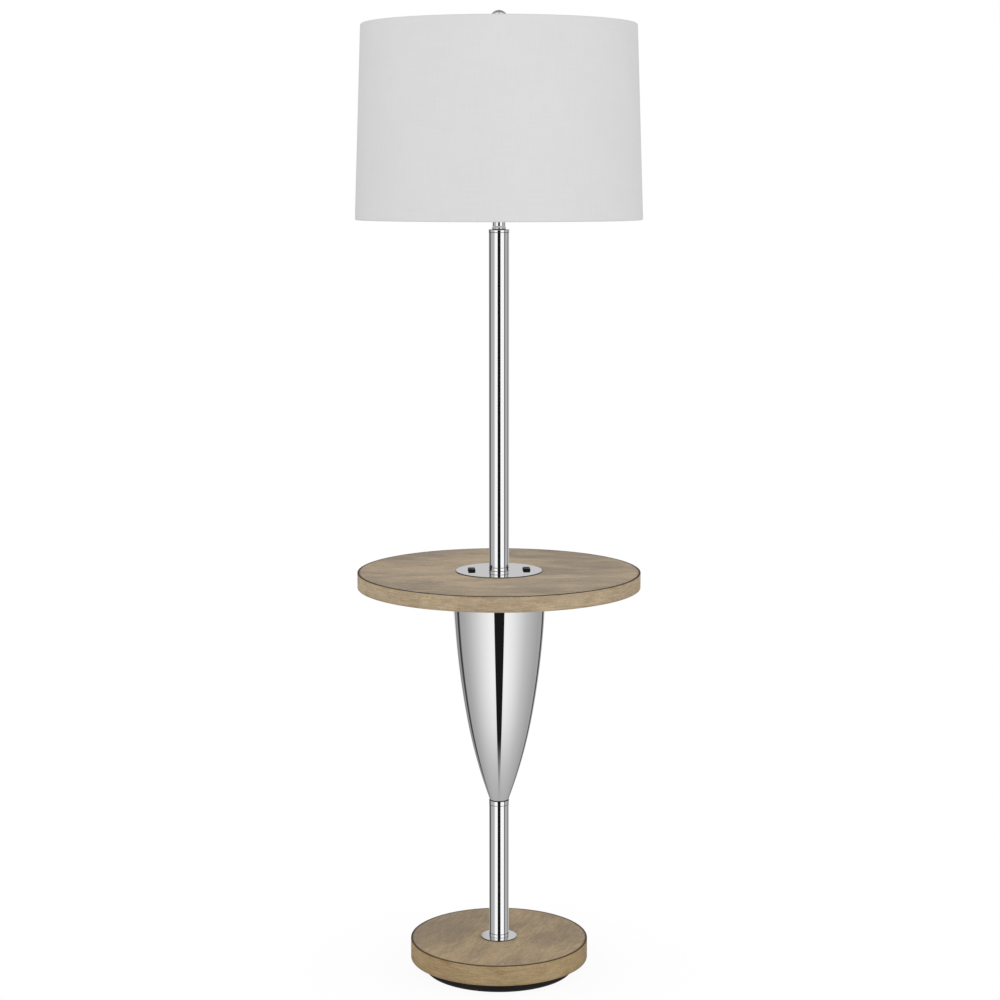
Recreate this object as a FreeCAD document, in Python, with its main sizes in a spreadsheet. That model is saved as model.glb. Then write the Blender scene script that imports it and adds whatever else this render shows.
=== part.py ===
import FreeCAD, Part
import math
import os
import Sketcher
from FreeCAD import Placement, Rotation, Vector

# Floor lamp with a round tray table. One threaded pipe runs up through turned, spun and wooden pieces
# that are clamped between nuts: base, lower pole, vase, table, upper pole, neck, lamp head and shade.
# Millimetres, +Z up, origin on the floor at the middle of the base, both USB ports on the X axis.

SIZES = {
    # fits: pieces that turn or slide, and pieces that are pressed, glued or screwed together
    "running_gap": 0.3,
    "seat_gap": 0.1,
    # base
    "pad_height": 1.5,
    "pad_radius": 122,
    "pad_inner_radius": 62,
    "weight_height": 17.5,
    "weight_radius": 124,
    "weight_bevel": 1.5,
    "recess_radius": 40,
    "recess_depth": 11,
    "inlet_height": 5.7,
    "inlet_radius": 3.2,
    "bushing_wall": 1.1,
    "bushing_length": 16,
    "bushing_flange_radius": 5.3,
    "bushing_flange_height": 2,
    "base_height": 33,
    "base_radius": 146.3,
    "base_band_thickness": 2.6,
    "base_seam_angle": 96,
    "wood_bevel": 0.6,
    "flange_radius": 29.8,
    "flange_height": 1.6,
    "plate_bevel": 0.4,
    # threaded pipe, nuts and washers
    "rod_radius": 4.9,
    "rod_bore_radius": 3.8,
    "rod_end": 1.5,
    "nut_width": 16,
    "nut_height": 6,
    "washer_radius": 12,
    "washer_height": 1.5,
    "coupler_radius": 7.5,
    "coupler_height": 26,
    "coupler_gap": 4,
    # poles and their turned ends
    "pole_radius": 16.1,
    "pole_wall": 1.2,
    "collar_radius": 16.4,
    "collar_bevel": 0.6,
    "spigot_height": 12,
    "foot_height": 5.5,
    "lower_pole_height": 219.3,
    "lower_cap_height": 7.6,
    "upper_pole_height": 539.2,
    "upper_cap_height": 4.7,
    # vase
    "vase_height": 357,
    "vase_wall": 1.2,
    "vase_foot_radius": 15.3,
    "vase_knee_radius": 54.2,
    "vase_knee_height": 142,
    "vase_rim_radius": 75.7,
    "vase_lip": 5,
    "vase_lower_arc": 820,
    "vase_upper_arc": 1370,
    # table
    "table_height": 25,
    "table_radius": 229.8,
    "table_band_thickness": 3,
    "table_seam_angle": -126,
    "band_seam": 0.3,
    "plate_radius": 70.2,
    "plate_height": 2,
    "plate_recess": 0.4,
    "bracket_length": 130,
    "bracket_width": 30,
    "bracket_height": 3,
    "screw_row_spacing": 16,
    "screw_spacing": 104,
    "screw_radius": 1.9,
    "screw_length": 16,
    "screw_point": 3,
    "screw_head_radius": 3.8,
    "screw_head_height": 2.4,
    # USB ports
    "port_offset": 44.6,
    "bezel_width": 12.3,
    "bezel_depth": 21,
    "bezel_height": 3,
    "bezel_taper": 12,
    "bezel_corner": 3,
    "port_corner": 0.8,
    "housing_width": 10,
    "housing_depth": 18,
    "housing_height": 48,
    "receptacle_width": 5.7,
    "receptacle_depth": 13.1,
    "receptacle_wall": 0.3,
    "receptacle_height": 14,
    "contact_tongue_width": 1.8,
    "contact_tongue_height": 11,
    "contact_tongue_offset": 1.1,
    "converter_width": 56,
    "converter_depth": 34,
    "converter_height": 30,
    "converter_gap": 2,
    "converter_round": 3,
    # neck
    "neck_radius": 10.15,
    "neck_wall": 1,
    "neck_height": 45.4,
    "neck_seat_radius": 11.7,
    "neck_seat_height": 5.6,
    "neck_undercut_height": 2,
    "neck_undercut_depth": 1,
    "neck_bell_arc": 9,
    # harp and its saddle
    "saddle_height": 1.5,
    "saddle_width": 15,
    "saddle_reach": 36,
    "saddle_tab_width": 3.8,
    "saddle_tab_height": 14,
    "harp_wire_radius": 2.3,
    "harp_leg_offset": 30.3,
    "harp_leg_height": 31.5,
    "harp_flat_depth": 1.2,
    "harp_lean": 12,
    "harp_top_lean": 18,
    "harp_bend_radius": 40,
    "harp_side_radius": 110,
    "harp_shoulder_radius": 48,
    "harp_height": 254,
    "harp_boss_radius": 7.5,
    "harp_boss_height": 10,
    "stud_radius": 3.17,
    "stud_height": 14,
    "sleeve_wall": 1,
    "sleeve_height": 16,
    # socket
    "socket_neck_radius": 7.5,
    "socket_neck_height": 5,
    "socket_cap_radius": 18.9,
    "socket_cap_wall": 0.7,
    "socket_dome_height": 8,
    "socket_dome_arc": 11.5,
    "socket_cap_height": 22,
    "socket_shell_wall": 0.5,
    "socket_shell_top": 66,
    "socket_bead": 0.8,
    "socket_bead_width": 1.6,
    "socket_liner_wall": 0.5,
    "socket_body_bottom": 14,
    "socket_body_top": 36,
    "socket_boss_radius": 6,
    "socket_boss_height": 2,
    "screw_shell_radius": 13.7,
    "screw_shell_wall": 0.4,
    "screw_shell_height": 26,
    "contact_leaf_width": 5,
    "contact_leaf_reach": 4,
    "contact_leaf_foot": 2,
    "contact_leaf_tip": 3,
    "contact_leaf_height": 2.2,
    "contact_leaf_thickness": 0.4,
    "switch_level": 28,
    "switch_hole_gap": 0.9,
    "stem_radius": 2,
    "stem_depth": 9,
    "stem_length": 21,
    "knob_length": 15,
    "knob_radius": 5,
    "knob_tip_radius": 4.3,
    "knob_gap": 1.5,
    "knob_bevel": 1,
    "knob_flute_radius": 0.9,
    "knob_flute_depth": 0.7,
    "knob_flutes": 10,
    # bulb
    "bulb_radius": 30,
    "bulb_neck_radius": 13.5,
    "bulb_joint_radius": 22,
    "bulb_length": 108,
    "bulb_wall": 0.8,
    "bulb_cap_radius": 13,
    "bulb_cap_height": 25,
    "bulb_contact_radius": 4.5,
    "bulb_contact_height": 1.6,
    "bulb_insulator_radius": 10.5,
    "bulb_insulator_height": 2.5,
    # shade, its frame and the finial
    "shade_height": 305,
    "shade_top_radius": 217.9,
    "shade_bottom_radius": 228.6,
    "shade_rise": 13.5,
    "shade_fabric": 0.7,
    "shade_liner": 0.5,
    "shade_hem": 9,
    "ring_wire_radius": 1.5,
    "spider_hole_radius": 5.5,
    "spider_washer_radius": 12.5,
    "spider_washer_height": 1.5,
    "spider_wire_radius": 1.6,
    "spider_weld_radius": 10.5,
    "spider_bend_radius": 6,
    "spider_arms": 3,
    "spider_turn": 90,
    "finial_foot_radius": 8,
    "finial_foot_height": 2.5,
    "finial_cove_top": 5,
    "finial_neck_radius": 5.2,
    "finial_neck_height": 13,
    "finial_radius": 13.4,
    "finial_edge_height": 25.7,
    "finial_height": 34,
    "finial_bowl_arc": 14,
    "finial_cove_arc": 5,
    "finial_bore_depth": 13.5,
}

doc = FreeCAD.newDocument("floor_lamp_with_table")
sheet = doc.addObject("Spreadsheet::Sheet", "Size")
for row, (name, size) in enumerate(SIZES.items(), start=1):
    sheet.set(f"A{row}", name)
    sheet.set(f"B{row}", str(size))
    sheet.setAlias(f"B{row}", name)
doc.recompute()

# Levels above the floor, each the sum of the heights below it.
WEIGHT_BOTTOM = "Size.pad_height"
RECESS_TOP = f"{WEIGHT_BOTTOM} + Size.recess_depth"
INLET_LEVEL = f"{WEIGHT_BOTTOM} + Size.inlet_height"
BASE_BOTTOM = f"{WEIGHT_BOTTOM} + Size.weight_height"
BASE_TOP = f"{BASE_BOTTOM} + Size.base_height"
LOWER_FOOT = f"{BASE_TOP} + Size.flange_height"
LOWER_POLE = f"{LOWER_FOOT} + Size.foot_height"
LOWER_CAP = f"{LOWER_POLE} + Size.lower_pole_height"
VASE_BOTTOM = f"{LOWER_CAP} + Size.lower_cap_height"
TABLE_BOTTOM = f"{VASE_BOTTOM} + Size.vase_height"
TABLE_TOP = f"{TABLE_BOTTOM} + Size.table_height"
PLATE_BOTTOM = f"{TABLE_TOP} - Size.plate_recess"
PLATE_TOP = f"{PLATE_BOTTOM} + Size.plate_height"
UPPER_POLE = f"{PLATE_TOP} + Size.foot_height"
UPPER_CAP = f"{UPPER_POLE} + Size.upper_pole_height"
NECK_SEAT = f"{UPPER_CAP} + Size.upper_cap_height"
NECK_BOTTOM = f"{NECK_SEAT} + Size.neck_seat_height"
SADDLE_BOTTOM = f"{NECK_BOTTOM} + Size.neck_height"
SADDLE_TOP = f"{SADDLE_BOTTOM} + Size.saddle_height"
HARP_SEAT = f"{SADDLE_TOP} + Size.harp_height"
SHADE_BOTTOM = f"{HARP_SEAT} + Size.shade_rise - Size.shade_height"
FINIAL_BOTTOM = f"{HARP_SEAT} + Size.spider_washer_height"

BRACKET_BOTTOM = f"({TABLE_BOTTOM} - Size.bracket_height)"
WELL_DEPTH = "(Size.receptacle_height - Size.bezel_height + Size.running_gap)"
WELL_FLOOR = f"{PLATE_TOP} - {WELL_DEPTH}"
CONTACT_TOP = "Size.socket_body_top + Size.socket_boss_height + Size.contact_leaf_height"
BULB_BOTTOM = f"{SADDLE_TOP} + {CONTACT_TOP} + Size.contact_leaf_thickness + Size.running_gap"

# Radii and places that several pieces share.
ROD_HOLE = "(Size.rod_radius + Size.running_gap)"
POLE_BORE = "(Size.pole_radius - Size.pole_wall)"
TAB_FACE = "(Size.harp_leg_offset - Size.harp_flat_depth)"
TAB_BACK = "(Size.harp_flat_depth + Size.saddle_height)"
SHELL_RADIUS = "(Size.socket_cap_radius - Size.socket_cap_wall - Size.seat_gap)"
RING_INSET = "(Size.shade_fabric + Size.running_gap + Size.ring_wire_radius)"


def value(expression):
    return float(sheet.evalExpression(expression))


def negative(expression):
    return f"-({expression})"


def arc_between(start, end, radius):
    """Arc shorter than a half turn: a positive radius turns left on the way, a negative one right."""
    chord = end - start
    depth = math.sqrt(max(radius**2 - (chord.Length / 2) ** 2, 0))
    left = Vector(-chord.y, chord.x, 0).normalize()
    centre = (start + end) / 2 + left * math.copysign(depth, radius)
    first, last = (start, end) if radius > 0 else (end, start)
    angles = [math.atan2(spot.y - centre.y, spot.x - centre.x) for spot in (first, last)]
    if angles[1] < angles[0]:
        angles[1] += 2 * math.pi
    return Part.ArcOfCircle(Part.Circle(centre, Vector(0, 0, 1), abs(radius)), *angles)


def pin_point(sketch, edge, end, across, up):
    """Hold one end of an edge at its distance from both axes of the sketch."""
    for kind, size, axis in (("DistanceX", across, -2), ("DistanceY", up, -1)):
        if size == "0":
            sketch.addConstraint(Sketcher.Constraint("PointOnObject", edge, end, axis))
        else:
            index = sketch.addConstraint(Sketcher.Constraint(kind, -1, 1, edge, end, value(size)))
            sketch.setExpression(f"Constraints[{index}]", size)


def new_sketch(body, plane, name):
    sketch = body.newObject("Sketcher::SketchObject", name)
    support = [item for item in body.Origin.OriginFeatures if item.Role == plane][0]
    sketch.AttachmentSupport = [(support, "")]
    sketch.MapMode = "FlatFace"
    return sketch


def draw_path(sketch, points, closed):
    """Edges through points (across, up), or (across, up, radius) where an arc leads to the point."""
    spots = [Vector(value(point[0]), value(point[1]), 0) for point in points]
    ends = []
    for index in range(0 if closed else 1, len(points)):
        start, end = spots[index - 1], spots[index]
        radius = points[index][2] if len(points[index]) > 2 else None
        if radius is None:
            edge = sketch.addGeometry(Part.LineSegment(start, end), False)
            ends.append((edge, 1, 2))
        else:
            size = value(radius)
            edge = sketch.addGeometry(arc_between(start, end, size), False)
            constraint = sketch.addConstraint(Sketcher.Constraint("Radius", edge, abs(size)))
            sketch.setExpression(f"Constraints[{constraint}]", f"abs({radius})")
            ends.append((edge, 1, 2) if size > 0 else (edge, 2, 1))
        pin_point(sketch, edge, ends[-1][2], points[index][0], points[index][1])
    followers = ends[1:] + ends[:1] if closed else ends[1:]
    for before, after in zip(ends, followers):
        sketch.addConstraint(Sketcher.Constraint("Coincident", before[0], before[2], after[0], after[1]))
    if not closed:
        pin_point(sketch, ends[0][0], ends[0][1], points[0][0], points[0][1])


def draw_rectangle(sketch, left, right, bottom, top):
    draw_path(sketch, [(left, bottom), (right, bottom), (right, top), (left, top)], closed=True)


def draw_rounded_rectangle(sketch, half_width, half_depth, corner):
    """Rectangle about the middle of the sketch, its four corners rounded."""
    left, right, near, far = negative(half_width), half_width, negative(half_depth), half_depth
    draw_path(sketch, [
        (f"{right} - {corner}", near),
        (right, f"{near} + {corner}", corner),
        (right, f"{far} - {corner}"),
        (f"{right} - {corner}", far, corner),
        (f"{left} + {corner}", far),
        (left, f"{far} - {corner}", corner),
        (left, f"{near} + {corner}"),
        (f"{left} + {corner}", near, corner),
    ], closed=True)


def draw_circle(sketch, across, up, radius):
    centre = Vector(value(across), value(up), 0)
    edge = sketch.addGeometry(Part.Circle(centre, Vector(0, 0, 1), value(radius)), False)
    pin_point(sketch, edge, 3, across, up)
    index = sketch.addConstraint(Sketcher.Constraint("Radius", edge, value(radius)))
    sketch.setExpression(f"Constraints[{index}]", radius)


def new_body(label, level="0"):
    body = doc.addObject("PartDesign::Body", label)
    body.Label = label
    if level != "0":
        body.setExpression("Placement.Base.z", level)
    return body


def turn(body, points, angle="360"):
    """Turn a closed profile, drawn as (radius, height), about the body's own Z axis."""
    sketch = new_sketch(body, "XZ_Plane", f"{body.Label}_profile")
    draw_path(sketch, points, closed=True)
    feature = body.newObject("PartDesign::Revolution", f"{body.Label}_turned")
    feature.Profile = (sketch, [""])
    feature.ReferenceAxis = (sketch, ["V_Axis"])
    feature.setExpression("Angle", angle)
    return feature


def turned(label, level, points, angle="360"):
    body = new_body(label, level)
    turn(body, points, angle)
    return body


def pad(body, sketch, length, name):
    feature = body.newObject("PartDesign::Pad", name)
    feature.Profile = (sketch, [""])
    feature.setExpression("Length", length)
    return feature


def cut(body, sketch, name, length=None, reverse=False):
    """Pocket of a given length, or through the whole body both ways, that has to take some metal away."""
    doc.recompute()
    before = body.Shape.Volume
    feature = body.newObject("PartDesign::Pocket", name)
    feature.Profile = (sketch, [""])
    if length is None:
        feature.Type = "ThroughAll"
        feature.SideType = "Symmetric"
    else:
        feature.Reversed = reverse
        feature.setExpression("Length", length)
    doc.recompute()
    if not body.Shape.Volume < before:
        raise RuntimeError(f"{name} cuts nothing")
    return feature


def around(body, feature, count, name):
    """Repeat a feature evenly about the body's own Z axis."""
    pattern = body.newObject("PartDesign::PolarPattern", name)
    pattern.Originals = [feature]
    axis = [item for item in body.Origin.OriginFeatures if item.Role == "Z_Axis"][0]
    pattern.Axis = (axis, [""])
    pattern.Angle = 360
    pattern.setExpression("Occurrences", count)
    body.Tip = pattern
    return pattern


def tube(label, level, inner, outer, height):
    return turned(label, level, [(inner, "0"), (outer, "0"), (outer, height), (inner, height)])


def lay_along_y(body, direction):
    """Lay a piece turned about Z down along Y: direction is 1 for its top facing +Y, -1 for -Y."""
    body.Placement = Placement(Vector(), Rotation(Vector(1, 0, 0), -90 * direction))


def hex_nut(label, level):
    """Hexagon prism with the pipe's hole through it."""
    prism = doc.addObject("Part::Prism", f"{label}_blank")
    prism.Polygon = 6
    prism.setExpression("Circumradius", "Size.nut_width / 2 / cos(30)")
    prism.setExpression("Height", "Size.nut_height")
    hole = doc.addObject("Part::Cylinder", f"{label}_hole")
    hole.setExpression("Radius", "Size.rod_radius + Size.seat_gap")
    hole.setExpression("Height", "Size.nut_height")
    nut = doc.addObject("Part::Cut", label)
    nut.Label = label
    nut.Base = prism
    nut.Tool = hole
    nut.setExpression("Placement.Base.z", level)
    return nut


def dome_arc(radius, rise):
    """Radius of the arc, centred on the axis, that domes so far above a rim of this radius."""
    return f"(({radius}) ^ 2 + ({rise}) ^ 2) / (2 * ({rise}))"


def washer(label, level):
    return tube(label, level, ROD_HOLE, "Size.washer_radius", "Size.washer_height")


# ---------------------------------------------------------------- base
def floor_pad():
    """Foam ring glued under the weight, open in the middle for the nut and the cord."""
    return tube("floor_pad", "0", "Size.pad_inner_radius", "Size.pad_radius", "Size.pad_height")


def base_weight():
    """Cast disc: recess below for the nut, hole for the pipe, cross hole with a spot face for the cord."""
    edge, bevel, top = "Size.weight_radius", "Size.weight_bevel", "Size.weight_height"
    body = turned("base_weight", WEIGHT_BOTTOM, [
        ("Size.recess_radius", "0"),
        (f"{edge} - {bevel}", "0"),
        (edge, bevel),
        (edge, f"{top} - {bevel}"),
        (f"{edge} - {bevel}", top),
        (ROD_HOLE, top),
        (ROD_HOLE, "Size.recess_depth"),
        ("Size.recess_radius", "Size.recess_depth"),
    ])
    hole = new_sketch(body, "XZ_Plane", "cord_hole_circle")
    draw_circle(hole, "0", "Size.inlet_height", "Size.inlet_radius + Size.bushing_wall + Size.seat_gap")
    cut(body, hole, "cord_hole", edge)
    face = new_sketch(body, "XZ_Plane", "spot_face_circle")
    draw_circle(face, "0", "Size.inlet_height", "Size.bushing_flange_radius + Size.seat_gap")
    face.setExpression("AttachmentOffset.Base.z", f"-({edge} - Size.bushing_flange_height)")
    cut(body, face, "spot_face", "Size.bushing_flange_height")
    return body


def cord_bushing():
    """Moulded bushing pressed into the weight from behind, its flange in the spot face."""
    outer = "(Size.inlet_radius + Size.bushing_wall)"
    body = new_body("cord_bushing")
    turn(body, [
        ("Size.inlet_radius", "0"),
        (outer, "0"),
        (outer, "Size.bushing_length - Size.bushing_flange_height"),
        ("Size.bushing_flange_radius", "Size.bushing_length - Size.bushing_flange_height"),
        ("Size.bushing_flange_radius", "Size.bushing_length"),
        ("Size.inlet_radius", "Size.bushing_length"),
    ])
    lay_along_y(body, 1)
    body.setExpression("Placement.Base.y", "Size.weight_radius - Size.bushing_length")
    body.setExpression("Placement.Base.z", INLET_LEVEL)
    return body


def wooden_disc(label, level, radius, band, height):
    """Veneered board under its edge strip, with the hole for the pipe."""
    edge = f"({radius} - {band} - Size.seat_gap)"
    return turned(label, level, [(ROD_HOLE, "0"), (edge, "0"), (edge, height), (ROD_HOLE, height)])


def edge_band(label, level, radius, band, height, seam_angle):
    """Strip bent round the board, its corners eased and its two ends butted at the seam."""
    bevel = "Size.wood_bevel"
    body = turned(label, level, [
        (f"{radius} - {band}", "0"),
        (f"{radius} - {bevel}", "0"),
        (radius, bevel),
        (radius, f"{height} - {bevel}"),
        (f"{radius} - {bevel}", height),
        (f"{radius} - {band}", height),
    ], f"360 - Size.band_seam / {radius} * 180 / pi")
    body.setExpression("Placement.Rotation.Angle", seam_angle)
    return body


def round_plate(label, level, radius, height):
    """Polished disc with its upper edge bevelled and a hole for the pipe."""
    bevel = "Size.plate_bevel"
    return turned(label, level, [
        (ROD_HOLE, "0"),
        (radius, "0"),
        (radius, f"{height} - {bevel}"),
        (f"{radius} - {bevel}", height),
        (ROD_HOLE, height),
    ])


def base():
    radius, band, height = "Size.base_radius", "Size.base_band_thickness", "Size.base_height"
    return [
        floor_pad(),
        base_weight(),
        cord_bushing(),
        wooden_disc("base_core", BASE_BOTTOM, radius, band, height),
        edge_band("base_edge_band", BASE_BOTTOM, radius, band, height, "Size.base_seam_angle"),
        round_plate("base_flange", BASE_TOP, "Size.flange_radius", "Size.flange_height"),
        washer("base_washer", f"{RECESS_TOP} - Size.washer_height"),
        hex_nut("base_nut", f"{RECESS_TOP} - Size.washer_height - Size.nut_height"),
    ]


# ---------------------------------------------------------------- poles
def pole(label, level, height):
    return tube(label, level, POLE_BORE, "Size.pole_radius", height)


def pole_foot(label, level):
    """Turned collar under a pole, with a spigot up into the tube and a groove where they meet."""
    collar, bevel, height = "Size.collar_radius", "Size.collar_bevel", "Size.foot_height"
    spigot = f"({POLE_BORE} - Size.seat_gap)"
    top = f"{height} + Size.spigot_height"
    return turned(label, level, [
        (ROD_HOLE, "0"),
        (collar, "0"),
        (collar, f"{height} - {bevel}"),
        (f"{collar} - {bevel}", height),
        (spigot, height),
        (spigot, top),
        (ROD_HOLE, top),
    ])


def pole_cap(label, level, height):
    """Turned collar on top of a pole: spigot down into the tube, rounded upper edge."""
    collar, bevel = "Size.collar_radius", "Size.collar_bevel"
    spigot = f"({POLE_BORE} - Size.seat_gap)"
    return turned(label, level, [
        (ROD_HOLE, "-Size.spigot_height"),
        (spigot, "-Size.spigot_height"),
        (spigot, "0"),
        (f"{collar} - {bevel}", "0"),
        (collar, bevel),
        (collar, f"{height} - {bevel}"),
        (f"{collar} - {bevel}", height, bevel),
        (ROD_HOLE, height),
    ])


def threaded_pipe(label, bottom, top):
    return tube(label, bottom, "Size.rod_bore_radius", "Size.rod_radius", f"({top}) - ({bottom})")


def poles():
    vase_nut_top = f"{VASE_BOTTOM} + Size.vase_wall + Size.washer_height + Size.nut_height"
    coupler_bottom = f"{vase_nut_top} + Size.coupler_gap"
    coupler_middle = f"{coupler_bottom} + Size.coupler_height / 2"
    rod_bottom = f"{RECESS_TOP} - Size.washer_height - Size.nut_height - Size.rod_end"
    return [
        pole_foot("lower_pole_foot", LOWER_FOOT),
        pole("lower_pole", LOWER_POLE, "Size.lower_pole_height"),
        pole_cap("lower_pole_cap", LOWER_CAP, "Size.lower_cap_height"),
        threaded_pipe("lower_rod", rod_bottom, f"{coupler_middle} - Size.running_gap / 2"),
        tube("rod_coupler", coupler_bottom, "Size.rod_radius + Size.seat_gap", "Size.coupler_radius",
             "Size.coupler_height"),
        threaded_pipe("upper_rod", f"{coupler_middle} + Size.running_gap / 2",
                      f"{SADDLE_TOP} + Size.socket_neck_height + Size.socket_cap_wall"),
        pole_foot("upper_pole_foot", PLATE_TOP),
        pole("upper_pole", UPPER_POLE, "Size.upper_pole_height"),
        pole_cap("upper_pole_cap", UPPER_CAP, "Size.upper_cap_height"),
    ]


# ---------------------------------------------------------------- vase
def vase_shell():
    """Bullet spun from sheet: two long arcs from its foot to its rim, and a lip turned in under the table."""
    wall, top = "Size.vase_wall", "Size.vase_height"
    knee, knee_level = "Size.vase_knee_radius", "Size.vase_knee_height"
    foot, rim = "Size.vase_foot_radius", "Size.vase_rim_radius"
    return turned("vase", VASE_BOTTOM, [
        (ROD_HOLE, "0"),
        (foot, "0"),
        (knee, knee_level, "Size.vase_lower_arc"),
        (rim, top, "Size.vase_upper_arc"),
        (f"{rim} - Size.vase_lip", top),
        (f"{rim} - Size.vase_lip", f"{top} - {wall}"),
        (f"{rim} - {wall}", f"{top} - {wall}"),
        (f"{knee} - {wall}", knee_level, negative(f"Size.vase_upper_arc - {wall}")),
        (f"{foot} - {wall}", wall, negative(f"Size.vase_lower_arc - {wall}")),
        (ROD_HOLE, wall),
    ])


def vase():
    floor = f"{VASE_BOTTOM} + Size.vase_wall"
    return [
        vase_shell(),
        washer("vase_washer", floor),
        hex_nut("vase_nut", f"{floor} + Size.washer_height"),
    ]


# ---------------------------------------------------------------- table
def cut_port_holes(body):
    """Two rectangular holes on the X axis, a running gap larger than the port housings."""
    half_width = "(Size.housing_width / 2 + Size.running_gap)"
    half_depth = "(Size.housing_depth / 2 + Size.running_gap)"
    for side, sign in (("left", "-"), ("right", "")):
        centre = f"{sign}Size.port_offset"
        sketch = new_sketch(body, "XY_Plane", f"{body.Label}_{side}_hole")
        draw_rectangle(sketch, f"{centre} - {half_width}", f"{centre} + {half_width}",
                       negative(half_depth), half_depth)
        cut(body, sketch, f"{body.Label}_{side}_cut")


def table_core():
    """Veneered board: hole for the pipe, seat for the plate, two port holes, four pilot holes below."""
    body = wooden_disc("table_core", TABLE_BOTTOM, "Size.table_radius", "Size.table_band_thickness",
                       "Size.table_height")
    seat = new_sketch(body, "XY_Plane", "plate_seat_circle")
    draw_circle(seat, "0", "0", "Size.plate_radius + Size.running_gap")
    seat.setExpression("AttachmentOffset.Base.z", "Size.table_height")
    cut(body, seat, "plate_seat", "Size.plate_recess")
    cut_port_holes(body)
    pilots = new_sketch(body, "XY_Plane", "pilot_circles")
    for across, along in screw_places():
        draw_circle(pilots, across, along, "Size.screw_radius + Size.seat_gap")
    cut(body, pilots, "pilot_holes", "Size.screw_length", reverse=True)
    return body


def screw_places():
    half_row, half_length = "Size.screw_row_spacing / 2", "Size.screw_spacing / 2"
    return [(f"{x}{half_row}", f"{y}{half_length}") for x in ("-", "") for y in ("-", "")]


def table_plate():
    """Polished disc, let into the board a little, with the holes for both ports."""
    body = round_plate("table_plate", PLATE_BOTTOM, "Size.plate_radius", "Size.plate_height")
    cut_port_holes(body)
    return body


def table_bracket():
    """Steel strip with round ends, screwed up into the board and clamped by the nut below it."""
    half = "Size.bracket_width / 2"
    end = "Size.bracket_length / 2"
    straight = f"({end} - {half})"
    body = new_body("table_bracket", BRACKET_BOTTOM)
    strip = new_sketch(body, "XY_Plane", "bracket_outline")
    draw_path(strip, [
        (half, negative(straight), half),
        (half, straight),
        ("0", end, half),
        (negative(half), straight, half),
        (negative(half), negative(straight)),
        ("0", negative(end), half),
    ], closed=True)
    pad(body, strip, "Size.bracket_height", "bracket_strip")
    holes = new_sketch(body, "XY_Plane", "bracket_circles")
    draw_circle(holes, "0", "0", ROD_HOLE)
    for across, along in screw_places():
        draw_circle(holes, across, along, "Size.screw_radius + Size.running_gap")
    cut(body, holes, "bracket_holes")
    return body


def bracket_screws():
    """Four round-headed wood screws, heads under the bracket and points up in the board."""
    shank, rim, head = "Size.screw_radius", "Size.screw_head_radius", "Size.screw_head_height"
    tip = "Size.bracket_height + Size.screw_length - Size.seat_gap"
    screws = []
    for number, (across, along) in enumerate(screw_places(), start=1):
        body = new_body(f"bracket_screw_{number}", BRACKET_BOTTOM)
        turn(body, [
            ("0", negative(head)),
            (rim, "0", dome_arc(rim, head)),
            (shank, "0"),
            (shank, f"{tip} - Size.screw_point"),
            ("0", tip),
        ])
        body.setExpression("Placement.Base.x", across)
        body.setExpression("Placement.Base.y", along)
        screws.append(body)
    group = doc.addObject("Part::Compound", "bracket_screws")
    group.Label = "bracket_screws"
    group.Links = screws
    return group


def draw_port(sketch):
    """Outline of the hole that the metal port is pushed into."""
    draw_rounded_rectangle(sketch, "(Size.receptacle_width / 2 + Size.seat_gap)",
                           "(Size.receptacle_depth / 2 + Size.seat_gap)", "Size.port_corner")


def usb_bezel(side, sign):
    """Black moulded frame on the plate, its sides drawn in, with the port through it."""
    body = new_body(f"usb_bezel_{side}", PLATE_TOP)
    outline = new_sketch(body, "XY_Plane", f"bezel_{side}_outline")
    draw_rounded_rectangle(outline, "Size.bezel_width / 2", "Size.bezel_depth / 2", "Size.bezel_corner")
    block = pad(body, outline, "Size.bezel_height", f"bezel_{side}_block")
    block.setExpression("TaperAngle", "-Size.bezel_taper")
    slot = new_sketch(body, "XY_Plane", f"bezel_{side}_slot")
    draw_port(slot)
    cut(body, slot, f"bezel_{side}_port")
    body.setExpression("Placement.Base.x", f"{sign}Size.port_offset")
    return body


def usb_housing(side, sign):
    """Moulded box hanging from the bezel through plate and table, with a well for the receptacle."""
    half_width, half_depth = "Size.housing_width / 2", "Size.housing_depth / 2"
    height = "Size.housing_height"
    body = new_body(f"usb_housing_{side}", f"{PLATE_TOP} - {height}")
    outline = new_sketch(body, "XY_Plane", f"housing_{side}_outline")
    draw_rectangle(outline, negative(half_width), half_width, negative(half_depth), half_depth)
    pad(body, outline, height, f"housing_{side}_block")
    well = new_sketch(body, "XY_Plane", f"housing_{side}_well")
    draw_port(well)
    well.setExpression("AttachmentOffset.Base.z", height)
    cut(body, well, f"housing_{side}_cavity", WELL_DEPTH)
    body.setExpression("Placement.Base.x", f"{sign}Size.port_offset")
    return body


def usb_receptacle(side, sign):
    """Folded metal tube of the port, standing on the floor of the well."""
    wall, corner = "Size.receptacle_wall", "Size.port_corner"
    half_width, half_depth = "(Size.receptacle_width / 2)", "(Size.receptacle_depth / 2)"
    body = new_body(f"usb_shell_{side}", WELL_FLOOR)
    outside = new_sketch(body, "XY_Plane", f"shell_{side}_outside")
    draw_rounded_rectangle(outside, half_width, half_depth, corner)
    pad(body, outside, "Size.receptacle_height", f"shell_{side}_block")
    inside = new_sketch(body, "XY_Plane", f"shell_{side}_inside")
    draw_rounded_rectangle(inside, f"({half_width} - {wall})", f"({half_depth} - {wall})",
                           f"({corner} - {wall})")
    cut(body, inside, f"shell_{side}_opening")
    body.setExpression("Placement.Base.x", f"{sign}Size.port_offset")
    return body


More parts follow.
